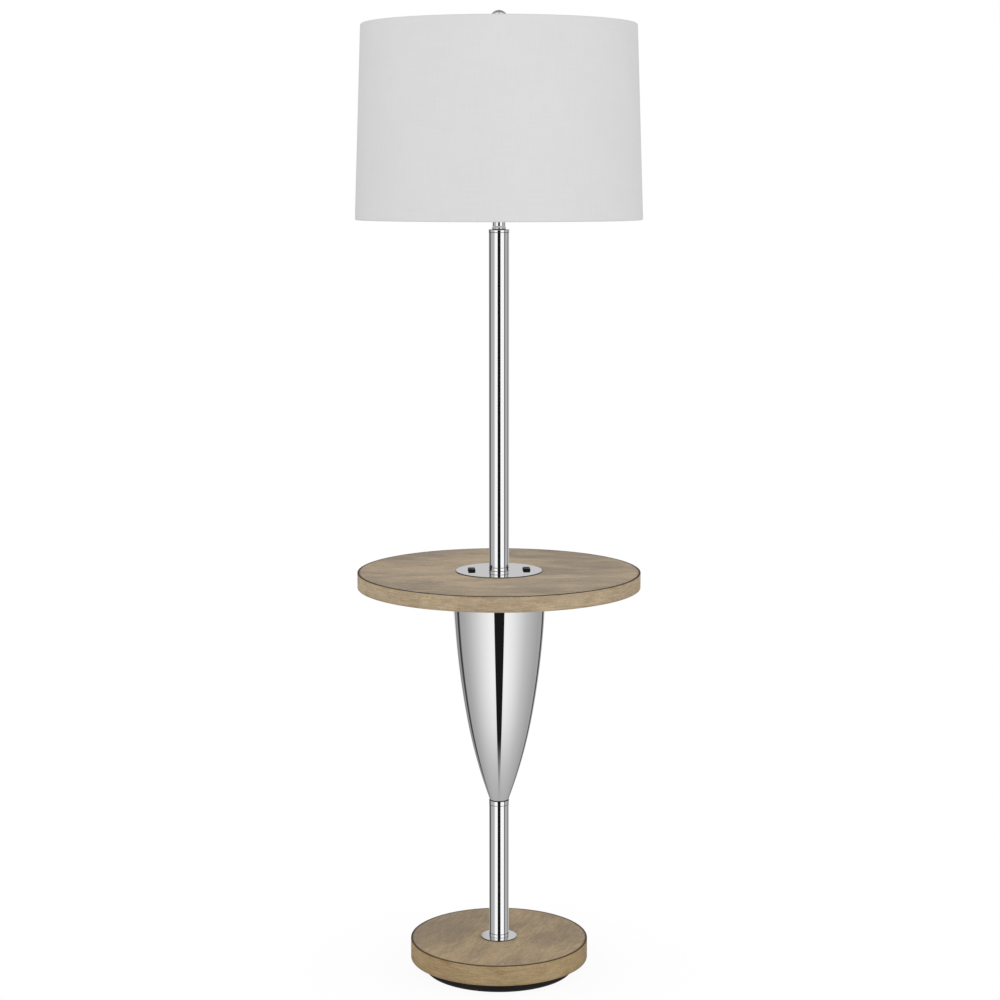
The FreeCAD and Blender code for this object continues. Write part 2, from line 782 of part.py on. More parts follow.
def usb_tongue(side, sign):
    """Moulded tongue that carries the contacts, nearer one side of the port."""
    half_width = "(Size.contact_tongue_width / 2)"
    half_depth = "(Size.receptacle_depth / 2 - Size.receptacle_wall - Size.running_gap)"
    body = new_body(f"usb_tongue_{side}", WELL_FLOOR)
    outline = new_sketch(body, "XY_Plane", f"tongue_{side}_outline")
    middle = "Size.contact_tongue_offset"
    draw_rectangle(outline, f"{middle} - {half_width}", f"{middle} + {half_width}",
                   negative(half_depth), half_depth)
    pad(body, outline, "Size.contact_tongue_height", f"tongue_{side}_block")
    body.setExpression("Placement.Base.x", f"{sign}Size.port_offset")
    return body


def usb_converter():
    """Closed supply box under the bracket, behind the pipe, that feeds both ports."""
    box = doc.addObject("Part::Box", "converter_block")
    box.setExpression("Length", "Size.converter_width")
    box.setExpression("Width", "Size.converter_depth")
    box.setExpression("Height", "Size.converter_height")
    rounded = doc.addObject("Part::Fillet", "usb_converter")
    rounded.Label = "usb_converter"
    rounded.Base = box
    doc.recompute()
    upright = [number for number, edge in enumerate(box.Shape.Edges, start=1)
               if abs(edge.Vertexes[0].Z - edge.Vertexes[-1].Z) > value("Size.converter_height") / 2]
    rounded.Edges = [(number, value("Size.converter_round"), value("Size.converter_round"))
                     for number in upright]
    rounded.setExpression("Placement.Base.x", "-Size.converter_width / 2")
    rounded.setExpression("Placement.Base.y", "Size.nut_width / 2 / cos(30) + Size.converter_gap")
    rounded.setExpression("Placement.Base.z", f"{BRACKET_BOTTOM} - Size.converter_height")
    return rounded


def table():
    radius, band, height = "Size.table_radius", "Size.table_band_thickness", "Size.table_height"
    pieces = [
        table_core(),
        edge_band("table_edge_band", TABLE_BOTTOM, radius, band, height, "Size.table_seam_angle"),
        table_plate(),
        table_bracket(),
        bracket_screws(),
        hex_nut("table_nut", f"{BRACKET_BOTTOM} - Size.nut_height"),
        usb_converter(),
    ]
    for side, sign in (("left", "-"), ("right", "")):
        pieces += [maker(side, sign) for maker in (usb_bezel, usb_housing, usb_receptacle, usb_tongue)]
    return pieces


# ---------------------------------------------------------------- neck
def neck():
    """Belled seat ring on the pole's cap, and the slim tube above it that runs up into the shade."""
    seat, height = "Size.neck_seat_radius", "Size.neck_seat_height"
    undercut = "Size.neck_undercut_height"
    ring = turned("neck_seat", NECK_SEAT, [
        (ROD_HOLE, "0"),
        (f"{seat} - Size.neck_undercut_depth", "0"),
        (f"{seat} - Size.neck_undercut_depth", undercut),
        (seat, undercut),
        ("Size.neck_radius", height, "-Size.neck_bell_arc"),
        (ROD_HOLE, height),
    ])
    pipe = tube("neck_tube", NECK_BOTTOM, "Size.neck_radius - Size.neck_wall", "Size.neck_radius",
                "Size.neck_height")
    return [ring, pipe]


# ---------------------------------------------------------------- harp
def harp_saddle():
    """Stamped strip across the top of the neck, with two tabs turned up for the harp's legs."""
    half, reach = "(Size.saddle_width / 2)", "(Size.saddle_reach - Size.saddle_width / 2)"
    body = new_body("harp_saddle", SADDLE_BOTTOM)
    strip = new_sketch(body, "XY_Plane", "saddle_outline")
    draw_path(strip, [
        (reach, negative(half)),
        ("Size.saddle_reach", "0", half),
        (reach, half, half),
        (negative(reach), half),
        ("-Size.saddle_reach", "0", half),
        (negative(reach), negative(half), half),
    ], closed=True)
    pad(body, strip, "Size.saddle_height", "saddle_strip")
    hole = new_sketch(body, "XY_Plane", "saddle_circle")
    draw_circle(hole, "0", "0", ROD_HOLE)
    cut(body, hole, "saddle_hole")
    tabs = new_sketch(body, "XY_Plane", "saddle_tabs")
    half_tab = "(Size.saddle_tab_width / 2)"
    for sign in ("", "-"):
        inner = f"{sign}({TAB_FACE} - Size.saddle_height)"
        outer = f"{sign}({TAB_FACE})"
        draw_rectangle(tabs, inner, outer, negative(half_tab), half_tab)
    pad(body, tabs, "Size.saddle_height + Size.saddle_tab_height", "saddle_tabs_up")
    return body


def harp_path():
    """Centreline of the wire: straight leg, bend outwards, long side, shoulder and level top, both ways."""
    lean, top_lean = "Size.harp_lean", "Size.harp_top_lean"
    bend, side, shoulder = "Size.harp_bend_radius", "Size.harp_side_radius", "Size.harp_shoulder_radius"
    leg, leg_top = "Size.harp_leg_offset", "Size.harp_leg_height"
    top = "(Size.harp_height - Size.harp_boss_height / 2)"
    bend_end = (f"({leg} + {bend} * (1 - cos({lean})))", f"({leg_top} + {bend} * sin({lean}))")
    run = (f"({top} - {bend_end[1]} - {side} * (sin({lean}) + sin({top_lean}))"
           f" - {shoulder} * (1 - sin({top_lean})))")
    side_start = (f"({bend_end[0]} + {run} * tan({lean}))", f"({bend_end[1]} + {run})")
    widest = f"({side_start[0]} + {side} * (1 - cos({lean})))"
    side_end = (f"({widest} - {side} * (1 - cos({top_lean})))",
                f"({side_start[1]} + {side} * (sin({lean}) + sin({top_lean})))")
    flat = f"({side_end[0]} - {shoulder} * cos({top_lean}))"
    right = [(leg, "0"), (leg, leg_top), (*bend_end, negative(bend)), side_start, (*side_end, side),
             (flat, top, shoulder)]
    left = [(negative(flat), top), (negative(side_end[0]), side_end[1], shoulder),
            (negative(side_start[0]), side_start[1], side), (negative(bend_end[0]), bend_end[1]),
            (negative(leg), leg_top, negative(bend)), (negative(leg), "0")]
    return right + left


def harp():
    """Bent wire loop with flats on its feet, and the brazed boss and stud that carry the shade."""
    body = new_body("harp", SADDLE_TOP)
    path = new_sketch(body, "XZ_Plane", "harp_path")
    draw_path(path, harp_path(), closed=False)
    section = new_sketch(body, "XY_Plane", "harp_section")
    draw_circle(section, "Size.harp_leg_offset", "0", "Size.harp_wire_radius")
    doc.recompute()
    wire = body.newObject("PartDesign::AdditivePipe", "harp_wire")
    wire.Profile = (section, [""])
    wire.Spine = (path, [f"Edge{number}" for number in range(1, path.GeometryCount + 1)])
    flats = new_sketch(body, "XZ_Plane", "harp_flats_outline")
    draw_rectangle(flats, negative(f"{TAB_FACE} + Size.seat_gap"), f"{TAB_FACE} + Size.seat_gap",
                   "0", "Size.saddle_tab_height + Size.running_gap")
    cut(body, flats, "harp_flats")
    seat = "Size.harp_height"
    turn(body, [
        ("0", f"{seat} - Size.harp_boss_height"),
        ("Size.harp_boss_radius", f"{seat} - Size.harp_boss_height"),
        ("Size.harp_boss_radius", seat),
        ("Size.stud_radius", seat),
        ("Size.stud_radius", f"{seat} + Size.stud_height"),
        ("0", f"{seat} + Size.stud_height"),
    ])
    return body


def harp_sleeve(side, sign):
    """Drawn ferrule round leg and tab, through the wire's outer side and the tab's two inner corners."""
    wire, half_tab = "Size.harp_wire_radius", "(Size.saddle_tab_width / 2)"
    shift = f"(({TAB_BACK} ^ 2 + {half_tab} ^ 2 - {wire} ^ 2) / (2 * ({TAB_BACK} + {wire})))"
    bore = f"({wire} + {shift} + Size.running_gap)"
    body = tube(f"harp_sleeve_{side}", SADDLE_TOP, bore, f"{bore} + Size.sleeve_wall", "Size.sleeve_height")
    body.setExpression("Placement.Base.x", f"{sign}(Size.harp_leg_offset - {shift})")
    return body


# ---------------------------------------------------------------- socket
def socket_cap():
    """Drawn metal cap screwed on the pipe: small neck, domed shoulder and straight rim."""
    wall, rim, arc = "Size.socket_cap_wall", "Size.socket_cap_radius", "Size.socket_dome_arc"
    neck_radius, neck_height = "Size.socket_neck_radius", "Size.socket_neck_height"
    shoulder = f"({neck_height} + Size.socket_dome_height)"
    return turned("socket_cap", SADDLE_TOP, [
        ("Size.rod_radius + Size.seat_gap", "0"),
        (neck_radius, "0"),
        (neck_radius, neck_height),
        (rim, shoulder, arc),
        (rim, "Size.socket_cap_height"),
        (f"{rim} - {wall}", "Size.socket_cap_height"),
        (f"{rim} - {wall}", shoulder),
        (neck_radius, f"{neck_height} + {wall}", negative(f"{arc} - {wall}")),
        ("Size.rod_radius + Size.seat_gap", f"{neck_height} + {wall}"),
    ])


def cut_switch_hole(body, name):
    """Round hole from the axis out to the front, at the level of the switch."""
    sketch = new_sketch(body, "XZ_Plane", f"{name}_circle")
    draw_circle(sketch, "0", "Size.switch_level", "Size.stem_radius + Size.switch_hole_gap")
    cut(body, sketch, name, "Size.socket_cap_radius", reverse=True)


def socket_shell():
    """Drawn brass shell pressed into the cap, with a rolled bead at its mouth."""
    outer, wall, bead = SHELL_RADIUS, "Size.socket_shell_wall", "Size.socket_bead"
    top = "Size.socket_shell_top"
    bead_bottom = f"({top} - Size.socket_bead_width)"
    body = turned("socket_shell", SADDLE_TOP, [
        (f"{outer} - {wall}", "Size.socket_body_bottom"),
        (outer, "Size.socket_body_bottom"),
        (outer, f"{bead_bottom} - {bead}"),
        (f"{outer} + {bead}", bead_bottom),
        (f"{outer} + {bead}", top),
        (f"{outer} + {bead} - {wall}", top),
        (f"{outer} + {bead} - {wall}", bead_bottom),
        (f"{outer} - {wall}", f"{bead_bottom} - {bead}"),
    ])
    cut_switch_hole(body, "socket_shell_hole")
    return body


def socket_liner():
    """Fibre tube that insulates the shell from the works inside it."""
    outer = f"({SHELL_RADIUS} - Size.socket_shell_wall - Size.seat_gap)"
    top = "Size.socket_shell_top - Size.socket_bead_width - Size.socket_bead"
    body = turned("socket_liner", SADDLE_TOP, [
        (f"{outer} - Size.socket_liner_wall", "Size.socket_body_bottom"),
        (outer, "Size.socket_body_bottom"),
        (outer, top),
        (f"{outer} - Size.socket_liner_wall", top),
    ])
    cut_switch_hole(body, "socket_liner_hole")
    return body


def socket_body():
    """Moulded block that holds the switch and carries the screw shell, with a boss for the contact."""
    outer = f"({SHELL_RADIUS} - Size.socket_shell_wall - Size.socket_liner_wall - Size.seat_gap * 2)"
    top, boss = "Size.socket_body_top", "Size.socket_boss_height"
    body = turned("socket_body", SADDLE_TOP, [
        ("0", "Size.socket_body_bottom"),
        (outer, "Size.socket_body_bottom"),
        (outer, top),
        ("Size.socket_boss_radius", top),
        ("Size.socket_boss_radius", f"{top} + {boss}"),
        ("0", f"{top} + {boss}"),
    ])
    hole = new_sketch(body, "XZ_Plane", "stem_hole_circle")
    draw_circle(hole, "0", "Size.switch_level", "Size.stem_radius + Size.running_gap")
    hole.setExpression("AttachmentOffset.Base.z", "Size.stem_depth - Size.running_gap")
    cut(body, hole, "stem_hole", outer, reverse=True)
    return body


def screw_shell():
    """Thin metal cup that takes the bulb's cap, standing on the moulded block."""
    radius, wall, height = "Size.screw_shell_radius", "Size.screw_shell_wall", "Size.screw_shell_height"
    return turned("screw_shell", f"{SADDLE_TOP} + Size.socket_body_top", [
        ("Size.socket_boss_radius + Size.running_gap", "0"),
        (radius, "0"),
        (radius, height),
        (f"{radius} - {wall}", height),
        (f"{radius} - {wall}", wall),
        ("Size.socket_boss_radius + Size.running_gap", wall),
    ])


def centre_contact():
    """Sprung leaf, flat on the boss at one end and raised under the bulb's tip."""
    reach, rise = "Size.contact_leaf_reach", "Size.contact_leaf_height"
    thick = "Size.contact_leaf_thickness"
    foot_end, tip_start = f"(Size.contact_leaf_foot - {reach})", f"({reach} - Size.contact_leaf_tip)"
    body = new_body("centre_contact", f"{SADDLE_TOP} + Size.socket_body_top + Size.socket_boss_height")
    sketch = new_sketch(body, "XZ_Plane", "contact_edge")
    draw_path(sketch, [
        (negative(reach), "0"),
        (foot_end, "0"),
        (tip_start, rise),
        (reach, rise),
        (reach, f"{rise} + {thick}"),
        (f"{tip_start} - {thick} / 2", f"{rise} + {thick}"),
        (f"{foot_end} - {thick} / 2", thick),
        (negative(reach), thick),
    ], closed=True)
    leaf = pad(body, sketch, "Size.contact_leaf_width", "contact_leaf")
    leaf.SideType = "Symmetric"
    return body


def switch_stem():
    body = new_body("switch_stem")
    turn(body, [
        ("0", "Size.stem_depth"),
        ("Size.stem_radius", "Size.stem_depth"),
        ("Size.stem_radius", "Size.stem_depth + Size.stem_length"),
        ("0", "Size.stem_depth + Size.stem_length"),
    ])
    lay_along_y(body, -1)
    body.setExpression("Placement.Base.z", f"{SADDLE_TOP} + Size.switch_level")
    return body


def switch_knob():
    """Tapered knob pressed on the stem, fluted all round for the fingers."""
    start = "(Size.socket_cap_radius + Size.knob_gap)"
    end = f"({start} + Size.knob_length)"
    bore = "(Size.stem_radius + Size.seat_gap)"
    bore_end = "(Size.stem_depth + Size.stem_length + Size.seat_gap)"
    body = new_body("switch_knob")
    turn(body, [
        (bore, start),
        ("Size.knob_radius", start),
        ("Size.knob_tip_radius", f"{end} - Size.knob_bevel"),
        ("Size.knob_tip_radius - Size.knob_bevel", end),
        ("0", end),
        ("0", bore_end),
        (bore, bore_end),
    ])
    flute = new_sketch(body, "XY_Plane", "knob_flute_circle")
    flute_middle = "Size.knob_radius + Size.knob_flute_radius - Size.knob_flute_depth"
    draw_circle(flute, flute_middle, "0", "Size.knob_flute_radius")
    around(body, cut(body, flute, "knob_flute"), "Size.knob_flutes", "knob_flutes_around")
    lay_along_y(body, -1)
    body.setExpression("Placement.Base.z", f"{SADDLE_TOP} + Size.switch_level")
    return body


# ---------------------------------------------------------------- bulb
def bulb_cap():
    """Screw cap with its insulated foot and centre contact, clear of the leaf below."""
    foot = "(Size.bulb_contact_height + Size.bulb_insulator_height)"
    return turned("bulb_cap", BULB_BOTTOM, [
        ("0", "0"),
        ("Size.bulb_contact_radius", "0"),
        ("Size.bulb_contact_radius", "Size.bulb_contact_height"),
        ("Size.bulb_insulator_radius", "Size.bulb_contact_height"),
        ("Size.bulb_cap_radius", foot),
        ("Size.bulb_cap_radius", "Size.bulb_cap_height"),
        ("0", "Size.bulb_cap_height"),
    ])


def bulb_glass():
    """Blown glass: straight neck, flare and round end, of one wall thickness."""
    radius, joint, wall, neck_radius = (
        "Size.bulb_radius", "Size.bulb_joint_radius", "Size.bulb_wall", "Size.bulb_neck_radius")
    centre = f"(Size.bulb_length - {radius})"
    drop = f"sqrt({radius} ^ 2 - {joint} ^ 2)"
    flare = f"(({joint} - {neck_radius}) / (1 - {joint} / {radius}))"
    share = f"(({radius} - {wall}) / {radius})"
    flare_bottom = f"({centre} - {drop} - {flare} * {drop} / {radius})"
    inner_neck = f"({neck_radius} - {wall})"
    return turned("bulb_glass", BULB_BOTTOM, [
        (inner_neck, "Size.bulb_cap_height"),
        (neck_radius, "Size.bulb_cap_height"),
        (neck_radius, flare_bottom),
        (joint, f"{centre} - {drop}", negative(flare)),
        (radius, centre, radius),
        ("0", "Size.bulb_length", radius),
        ("0", f"Size.bulb_length - {wall}"),
        (f"{radius} - {wall}", centre, negative(f"{radius} - {wall}")),
        (f"{joint} * {share}", f"{centre} - {drop} * {share}", negative(f"{radius} - {wall}")),
        (inner_neck, flare_bottom, f"{flare} + {wall}"),
    ])


def lamp_head():
    pieces = [harp_saddle(), harp()]
    pieces += [harp_sleeve(side, sign) for side, sign in (("left", "-"), ("right", ""))]
    pieces += [maker() for maker in (socket_cap, socket_shell, socket_liner, socket_body, screw_shell,
                                     centre_contact, switch_stem, switch_knob, bulb_cap, bulb_glass)]
    return pieces


# ---------------------------------------------------------------- shade
def shade_fabric():
    """Tapered drum of linen on its backing, rolled over a wire ring at both edges."""
    cloth, height = "Size.shade_fabric", "Size.shade_height"
    roll = RING_INSET
    inner = f"({roll} - {cloth})"
    top, bottom = "Size.shade_top_radius", "Size.shade_bottom_radius"
    return turned("shade_fabric", SHADE_BOTTOM, [
        (f"{bottom} - {roll} * 2", roll),
        (f"{bottom} - {roll}", "0", roll),
        (bottom, roll, roll),
        (top, f"{height} - {roll}"),
        (f"{top} - {roll}", height, roll),
        (f"{top} - {roll} * 2", f"{height} - {roll}", roll),
        (f"{top} - {roll} * 2 + {cloth}", f"{height} - {roll}"),
        (f"{top} - {roll}", f"{height} - {cloth}", negative(inner)),
        (f"{top} - {cloth}", f"{height} - {roll}", negative(inner)),
        (f"{bottom} - {cloth}", roll),
        (f"{bottom} - {roll}", cloth, negative(inner)),
        (f"{bottom} - {roll} * 2 + {cloth}", roll, negative(inner)),
    ])


def shade_liner():
    """Stiff translucent sheet behind the linen, between the two rolled edges."""
    outer, wall, hem = "(Size.shade_fabric + Size.seat_gap)", "Size.shade_liner", "Size.shade_hem"
    top, bottom = "Size.shade_top_radius", "Size.shade_bottom_radius"
    slope = f"({bottom} - {top}) / (Size.shade_height - 2 * {RING_INSET})"
    taper = f"{slope} * ({hem} - {RING_INSET})"
    low, high = f"({bottom} - {outer} - {taper})", f"({top} - {outer} + {taper})"
    return turned("shade_liner", SHADE_BOTTOM, [
        (f"{low} - {wall}", hem),
        (low, hem),
        (high, f"Size.shade_height - {hem}"),
        (f"{high} - {wall}", f"Size.shade_height - {hem}"),
    ])


def shade_ring(label, shade_radius, level):
    ring = doc.addObject("Part::Torus", label)
    ring.Label = label
    ring.setExpression("Radius1", f"{shade_radius} - {RING_INSET}")
    ring.setExpression("Radius2", "Size.ring_wire_radius")
    ring.setExpression("Placement.Base.z", level)
    return ring


def spider():
    """Washer on the harp's seat, three wire arms let into it flush that turn up under the top ring."""
    hole, rim, thick = "Size.spider_hole_radius", "Size.spider_washer_radius", "Size.spider_washer_height"
    start, bend, wire = "Size.spider_weld_radius", "Size.spider_bend_radius", "Size.spider_wire_radius"
    body = new_body("spider", HARP_SEAT)
    washer_feature = turn(body, [(hole, "0"), (rim, "0"), (rim, thick), (hole, thick)])
    washer_feature.Label = "spider_washer"
    middle = f"({thick} - {wire})"
    walls = "(Size.shade_fabric + Size.seat_gap + Size.shade_liner + Size.running_gap)"
    ring = f"(Size.shade_top_radius - {walls} - {wire})"
    ring_bottom = f"(Size.shade_rise - {RING_INSET} - Size.ring_wire_radius)"
    path = new_sketch(body, "XZ_Plane", "arm_path")
    draw_path(path, [
        (start, middle),
        (f"{ring} - {bend}", middle),
        (ring, f"{middle} + {bend}", bend),
        (ring, ring_bottom),
    ], closed=False)
    section = new_sketch(body, "YZ_Plane", "arm_section")
    draw_circle(section, "0", middle, wire)
    section.setExpression("AttachmentOffset.Base.z", start)
    doc.recompute()
    arm = body.newObject("PartDesign::AdditivePipe", "spider_arm")
    arm.Profile = (section, [""])
    arm.Spine = (path, [f"Edge{number}" for number in range(1, path.GeometryCount + 1)])
    around(body, arm, "Size.spider_arms", "spider_arms_around")
    body.setExpression("Placement.Rotation.Angle", "Size.spider_turn")
    return body


def finial():
    """Turned knob screwed on the stud: foot on the washer, slim neck, full bowl and low dome."""
    bore = "(Size.stud_radius + Size.seat_gap)"
    neck_radius, neck_top = "Size.finial_neck_radius", "Size.finial_neck_height"
    rise = "Size.finial_height - Size.finial_edge_height"
    return turned("finial", FINIAL_BOTTOM, [
        (bore, "0"),
        ("Size.finial_foot_radius", "0"),
        ("Size.finial_foot_radius", "Size.finial_foot_height"),
        (neck_radius, "Size.finial_cove_top", "-Size.finial_cove_arc"),
        (neck_radius, neck_top),
        ("Size.finial_radius", "Size.finial_edge_height", "Size.finial_bowl_arc"),
        ("0", "Size.finial_height", dome_arc("Size.finial_radius", rise)),
        ("0", "Size.finial_bore_depth"),
        (bore, "Size.finial_bore_depth"),
    ])


def shade():
    ring_top = f"{SHADE_BOTTOM} + Size.shade_height - {RING_INSET}"
    return [
        shade_fabric(),
        shade_liner(),
        shade_ring("shade_top_ring", "Size.shade_top_radius", ring_top),
        shade_ring("shade_bottom_ring", "Size.shade_bottom_radius", f"{SHADE_BOTTOM} + {RING_INSET}"),
        spider(),
        finial(),
    ]


# ---------------------------------------------------------------- whole lamp
pieces = base() + poles() + vase() + table() + neck() + lamp_head() + shade()
doc.recompute()

for item in doc.Objects:
    if {"Invalid", "Error"} & set(item.State):
        raise RuntimeError(f"{item.Label} has failed: {item.State}")
for piece in pieces:
    if piece.Shape.isNull() or not piece.Shape.isValid():
        raise RuntimeError(f"{piece.Label} has no sound shape")

os.makedirs("parts", exist_ok=True)
for piece in pieces:
    piece.Shape.exportStep(f"parts/{piece.Label}.step")
print(f"{len(pieces)} pieces, {value(FINIAL_BOTTOM) + value('Size.finial_height'):.1f} mm high")
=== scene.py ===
import math

import bpy
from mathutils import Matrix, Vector


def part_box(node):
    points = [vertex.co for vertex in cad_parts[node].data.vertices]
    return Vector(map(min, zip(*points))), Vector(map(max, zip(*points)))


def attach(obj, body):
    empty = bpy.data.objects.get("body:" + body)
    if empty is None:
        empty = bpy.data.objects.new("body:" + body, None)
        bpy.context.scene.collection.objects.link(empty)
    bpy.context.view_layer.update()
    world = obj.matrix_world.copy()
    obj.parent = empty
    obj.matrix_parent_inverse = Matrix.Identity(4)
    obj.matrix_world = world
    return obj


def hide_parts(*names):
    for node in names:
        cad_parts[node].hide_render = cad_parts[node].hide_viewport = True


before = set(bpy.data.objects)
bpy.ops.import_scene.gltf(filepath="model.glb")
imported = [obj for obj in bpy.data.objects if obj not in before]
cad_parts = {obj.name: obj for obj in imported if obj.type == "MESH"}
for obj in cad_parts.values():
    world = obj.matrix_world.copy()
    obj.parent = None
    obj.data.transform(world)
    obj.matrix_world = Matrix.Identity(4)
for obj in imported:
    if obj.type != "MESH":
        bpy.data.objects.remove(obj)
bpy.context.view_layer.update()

# ------------------ studio: camera
# The lamp is seen from chest height, 3.6 m away and a little from above. The line of the two ports
# is turned a few degrees out of the picture, and the lamp stands a hair left of its middle.
camera_distance, camera_height, camera_lens, sensor_width = 3.565, 1.287, 80.11, 36
camera_turn, camera_pitch, camera_aim = map(math.radians, (3.5, 8.025, 0.026))


def put_up(name, data):
    """Object in the scene with its data."""
    thing = bpy.data.objects.new(name, data)
    bpy.context.scene.collection.objects.link(thing)
    return thing


lens = bpy.data.cameras.new("studio_camera")
lens.sensor_width, lens.lens = sensor_width, camera_lens
lens.clip_start, lens.clip_end = 0.1, 60
camera = put_up("studio_camera", lens)
camera.location = (-camera_distance * math.sin(camera_turn),
                   -camera_distance * math.cos(camera_turn), camera_height)
camera.rotation_euler = (math.pi / 2 - camera_pitch, 0, -camera_turn - camera_aim)
bpy.context.scene.camera = camera
bpy.context.scene.view_settings.view_transform = "Standard"

# ------------------ studio: floor
# A pale sweep of floor that keeps the soft shadow round the foot of the lamp and turns to plain
# white further out.
floor_radius, floor_sides, floor_drop, floor_tone = 9.0, 64, 0.0002, 0.9
shadow_start, shadow_end, shadow_share = 0.16, 0.40, 0.06


class Signal:
    """Output of a node. A name in brackets takes another of its outputs, and sums with signals
    place math nodes."""

    def __init__(self, tree, node, output=0):
        self.tree, self.node, self.output = tree, node, output

    def __getitem__(self, output):
        return Signal(self.tree, self.node, output)

    def __add__(self, other):
        return self.reckon("ADD", other)

    def __sub__(self, other):
        return self.reckon("SUBTRACT", other)

    def __mul__(self, other):
        return self.reckon("MULTIPLY", other)

    def __truediv__(self, other):
        return self.reckon("DIVIDE", other)

    def into(self, kind, *ordered, **named):
        """Node that takes this signal as its first feed."""
        return place_node(self.tree, kind, self, *ordered, **named)

    def reckon(self, operation, *others, clamp=False):
        return self.into("ShaderNodeMath", *others, operation=operation, use_clamp=clamp)

    def step(self, low, high, first=0.0, last=1.0, kind="SMOOTHSTEP"):
        """Step from a first to a last value while this one goes from low to high."""
        return self.into("ShaderNodeMapRange", low, high, first, last, interpolation_type=kind)

    def feed(self, *ordered, **named):
        """Link signals or put values into the node's sockets, in order or by name, _ for space."""
        for label, source in [*enumerate(ordered), *named.items()]:
            label = label.replace("_", " ") if isinstance(label, str) else label
            socket = self.node.inputs[label]
            if isinstance(source, Signal):
                self.tree.links.new(source.node.outputs[source.output], socket)
            else:
                socket.default_value = source


def place_node(tree, kind, *ordered, **named):
    """Node with its feeds, and with its settings, which are the names in small letters."""
    made = Signal(tree, tree.nodes.new(kind))
    for setting in filter(str.islower, list(named)):
        setattr(made.node, setting, named.pop(setting))
    made.feed(*ordered, **named)
    return made


def spot_of(tree):
    """Place of the shaded spot on its own piece."""
    return place_node(tree, "ShaderNodeTexCoord")["Object"]


def off_axis(tree):
    """Distance of the shaded spot from the lamp's axis."""
    flat = spot_of(tree).into("ShaderNodeVectorMath", (1, 1, 0), operation="MULTIPLY")
    return flat.into("ShaderNodeVectorMath", operation="LENGTH")["Value"]


def new_paint(name):
    """Material whose nodes are still to be placed."""
    made = bpy.data.materials.new(name)
    made.use_nodes = True
    made.node_tree.nodes.clear()
    return made, made.node_tree


def neutral(tone):
    """Colour without a hue."""
    return (tone, tone, tone, 1)


def ring_point(radius, turn, level):
    """Point on a circle round the lamp's axis."""
    return (radius * math.cos(turn), radius * math.sin(turn), level)


floor_mesh = bpy.data.meshes.new("studio_floor")
floor_mesh.from_pydata([ring_point(floor_radius, math.tau * side / floor_sides, -floor_drop)
                        for side in range(floor_sides)], [], [range(floor_sides)])
floor = put_up("studio_floor", floor_mesh)
floor.visible_glossy = False
floor_paint, tree = new_paint("studio_floor")
whiteness = off_axis(tree).step(shadow_start, shadow_end, 1 - shadow_share, 1.0)
seen = place_node(tree, "ShaderNodeLightPath")["Is Camera Ray"] * whiteness
matt = place_node(tree, "ShaderNodeBsdfDiffuse", Color=neutral(floor_tone))
white = place_node(tree, "ShaderNodeEmission", Color=neutral(1))
seen.into("ShaderNodeMixShader", matt, white).into("ShaderNodeOutputMaterial")
floor_mesh.materials.append(floor_paint)

# ------------------ studio: room and lamps
# The room is white to the eye. Polished metal and glass see its pale walls, which darken away from
# the camera, with the dark gap between the two screens in front and two dark edges at the back.
wall_tones = [  # degrees round from the camera, positive to its right, and the brightness there
    (-180, 1.0), (-158, 1.0), (-152, 0.25), (-145, 0.25), (-136, 0.34), (-132, 0.05), (-123, 0.05),
    (-119.5, 0.36), (-100, 0.40), (-80, 0.50), (-60, 0.64), (-40, 0.79), (-22, 0.90), (22, 0.91),
    (40, 0.80), (60, 0.64), (75, 0.53), (95, 0.45), (120, 0.37), (141, 0.37), (145, 0.04),
    (153, 0.04), (157, 0.36), (180, 0.45),
]
high_tones = [  # the same at eye level and above, as the upper pole and the plate see it
    (-180, 0.58), (-166, 0.50), (-150, 0.30), (-137, 0.27), (-132, 0.05), (-113, 0.05),
    (-108, 0.43), (-96, 0.43), (-70, 0.45), (-56, 0.48), (-46, 0.98), (-30, 1.0), (57, 1.0),
    (60.5, 0.90), (62, 0.06), (72, 0.06), (74, 0.41), (90, 0.44), (105, 0.46), (111, 0.44),
    (114, 0.08), (121, 0.08), (125, 0.42), (144, 0.45), (164, 0.57), (180, 0.58),
]
ceiling_tones = [  # the same under the ceiling
    (-180, 0.22), (-150, 0.24), (-100, 0.55), (-60, 0.85), (60, 0.85), (100, 0.55), (150, 0.24),
    (180, 0.22),
]
ceiling_start, ceiling_end, high_start, high_end = 0.40, 0.52, -0.212, -0.195
gap_middle, gap_softness, gap_tone = math.radians(0.8), math.radians(0.8), 0.010
gap_half_width, high_gap_half_width = math.radians(13.3), math.radians(17.4)
narrow_start, narrow_end, narrowing = -0.28, -0.73, 0.38
low_start, low_end, low_tone = -0.42, -0.89, 0.40
edge_fade_start, edge_fade_end, faded_edge_tone = -0.47, -0.60, 0.21
fade_start, fade_end, room_light = -0.62, -0.86, 0.72


def look_round(tree, coordinates):
    """Direction of sight from the lamp, and its angle round from the camera."""
    compass = place_node(tree, "ShaderNodeTexCoord")[coordinates]
    facing = compass.into("ShaderNodeMapping", Rotation=(0, 0, camera_turn))
    bearing = facing.into("ShaderNodeSeparateXYZ")
    return bearing, bearing["X"].reckon("ARCTAN2", bearing["Y"] * -1.0)


def wall_ramp(angle, tones):
    """Brightness of the walls by the direction round the room."""
    ramp = angle.reckon("MULTIPLY_ADD", 1 / math.tau, 0.5).into("ShaderNodeValToRGB")
    for place, (degrees, tone) in enumerate(tones):
        stops = ramp.node.color_ramp.elements
        stop = stops[place] if place < 2 else stops.new(degrees / 360 + 0.5)
        stop.position = degrees / 360 + 0.5
        stop.color = neutral(tone)
    return ramp


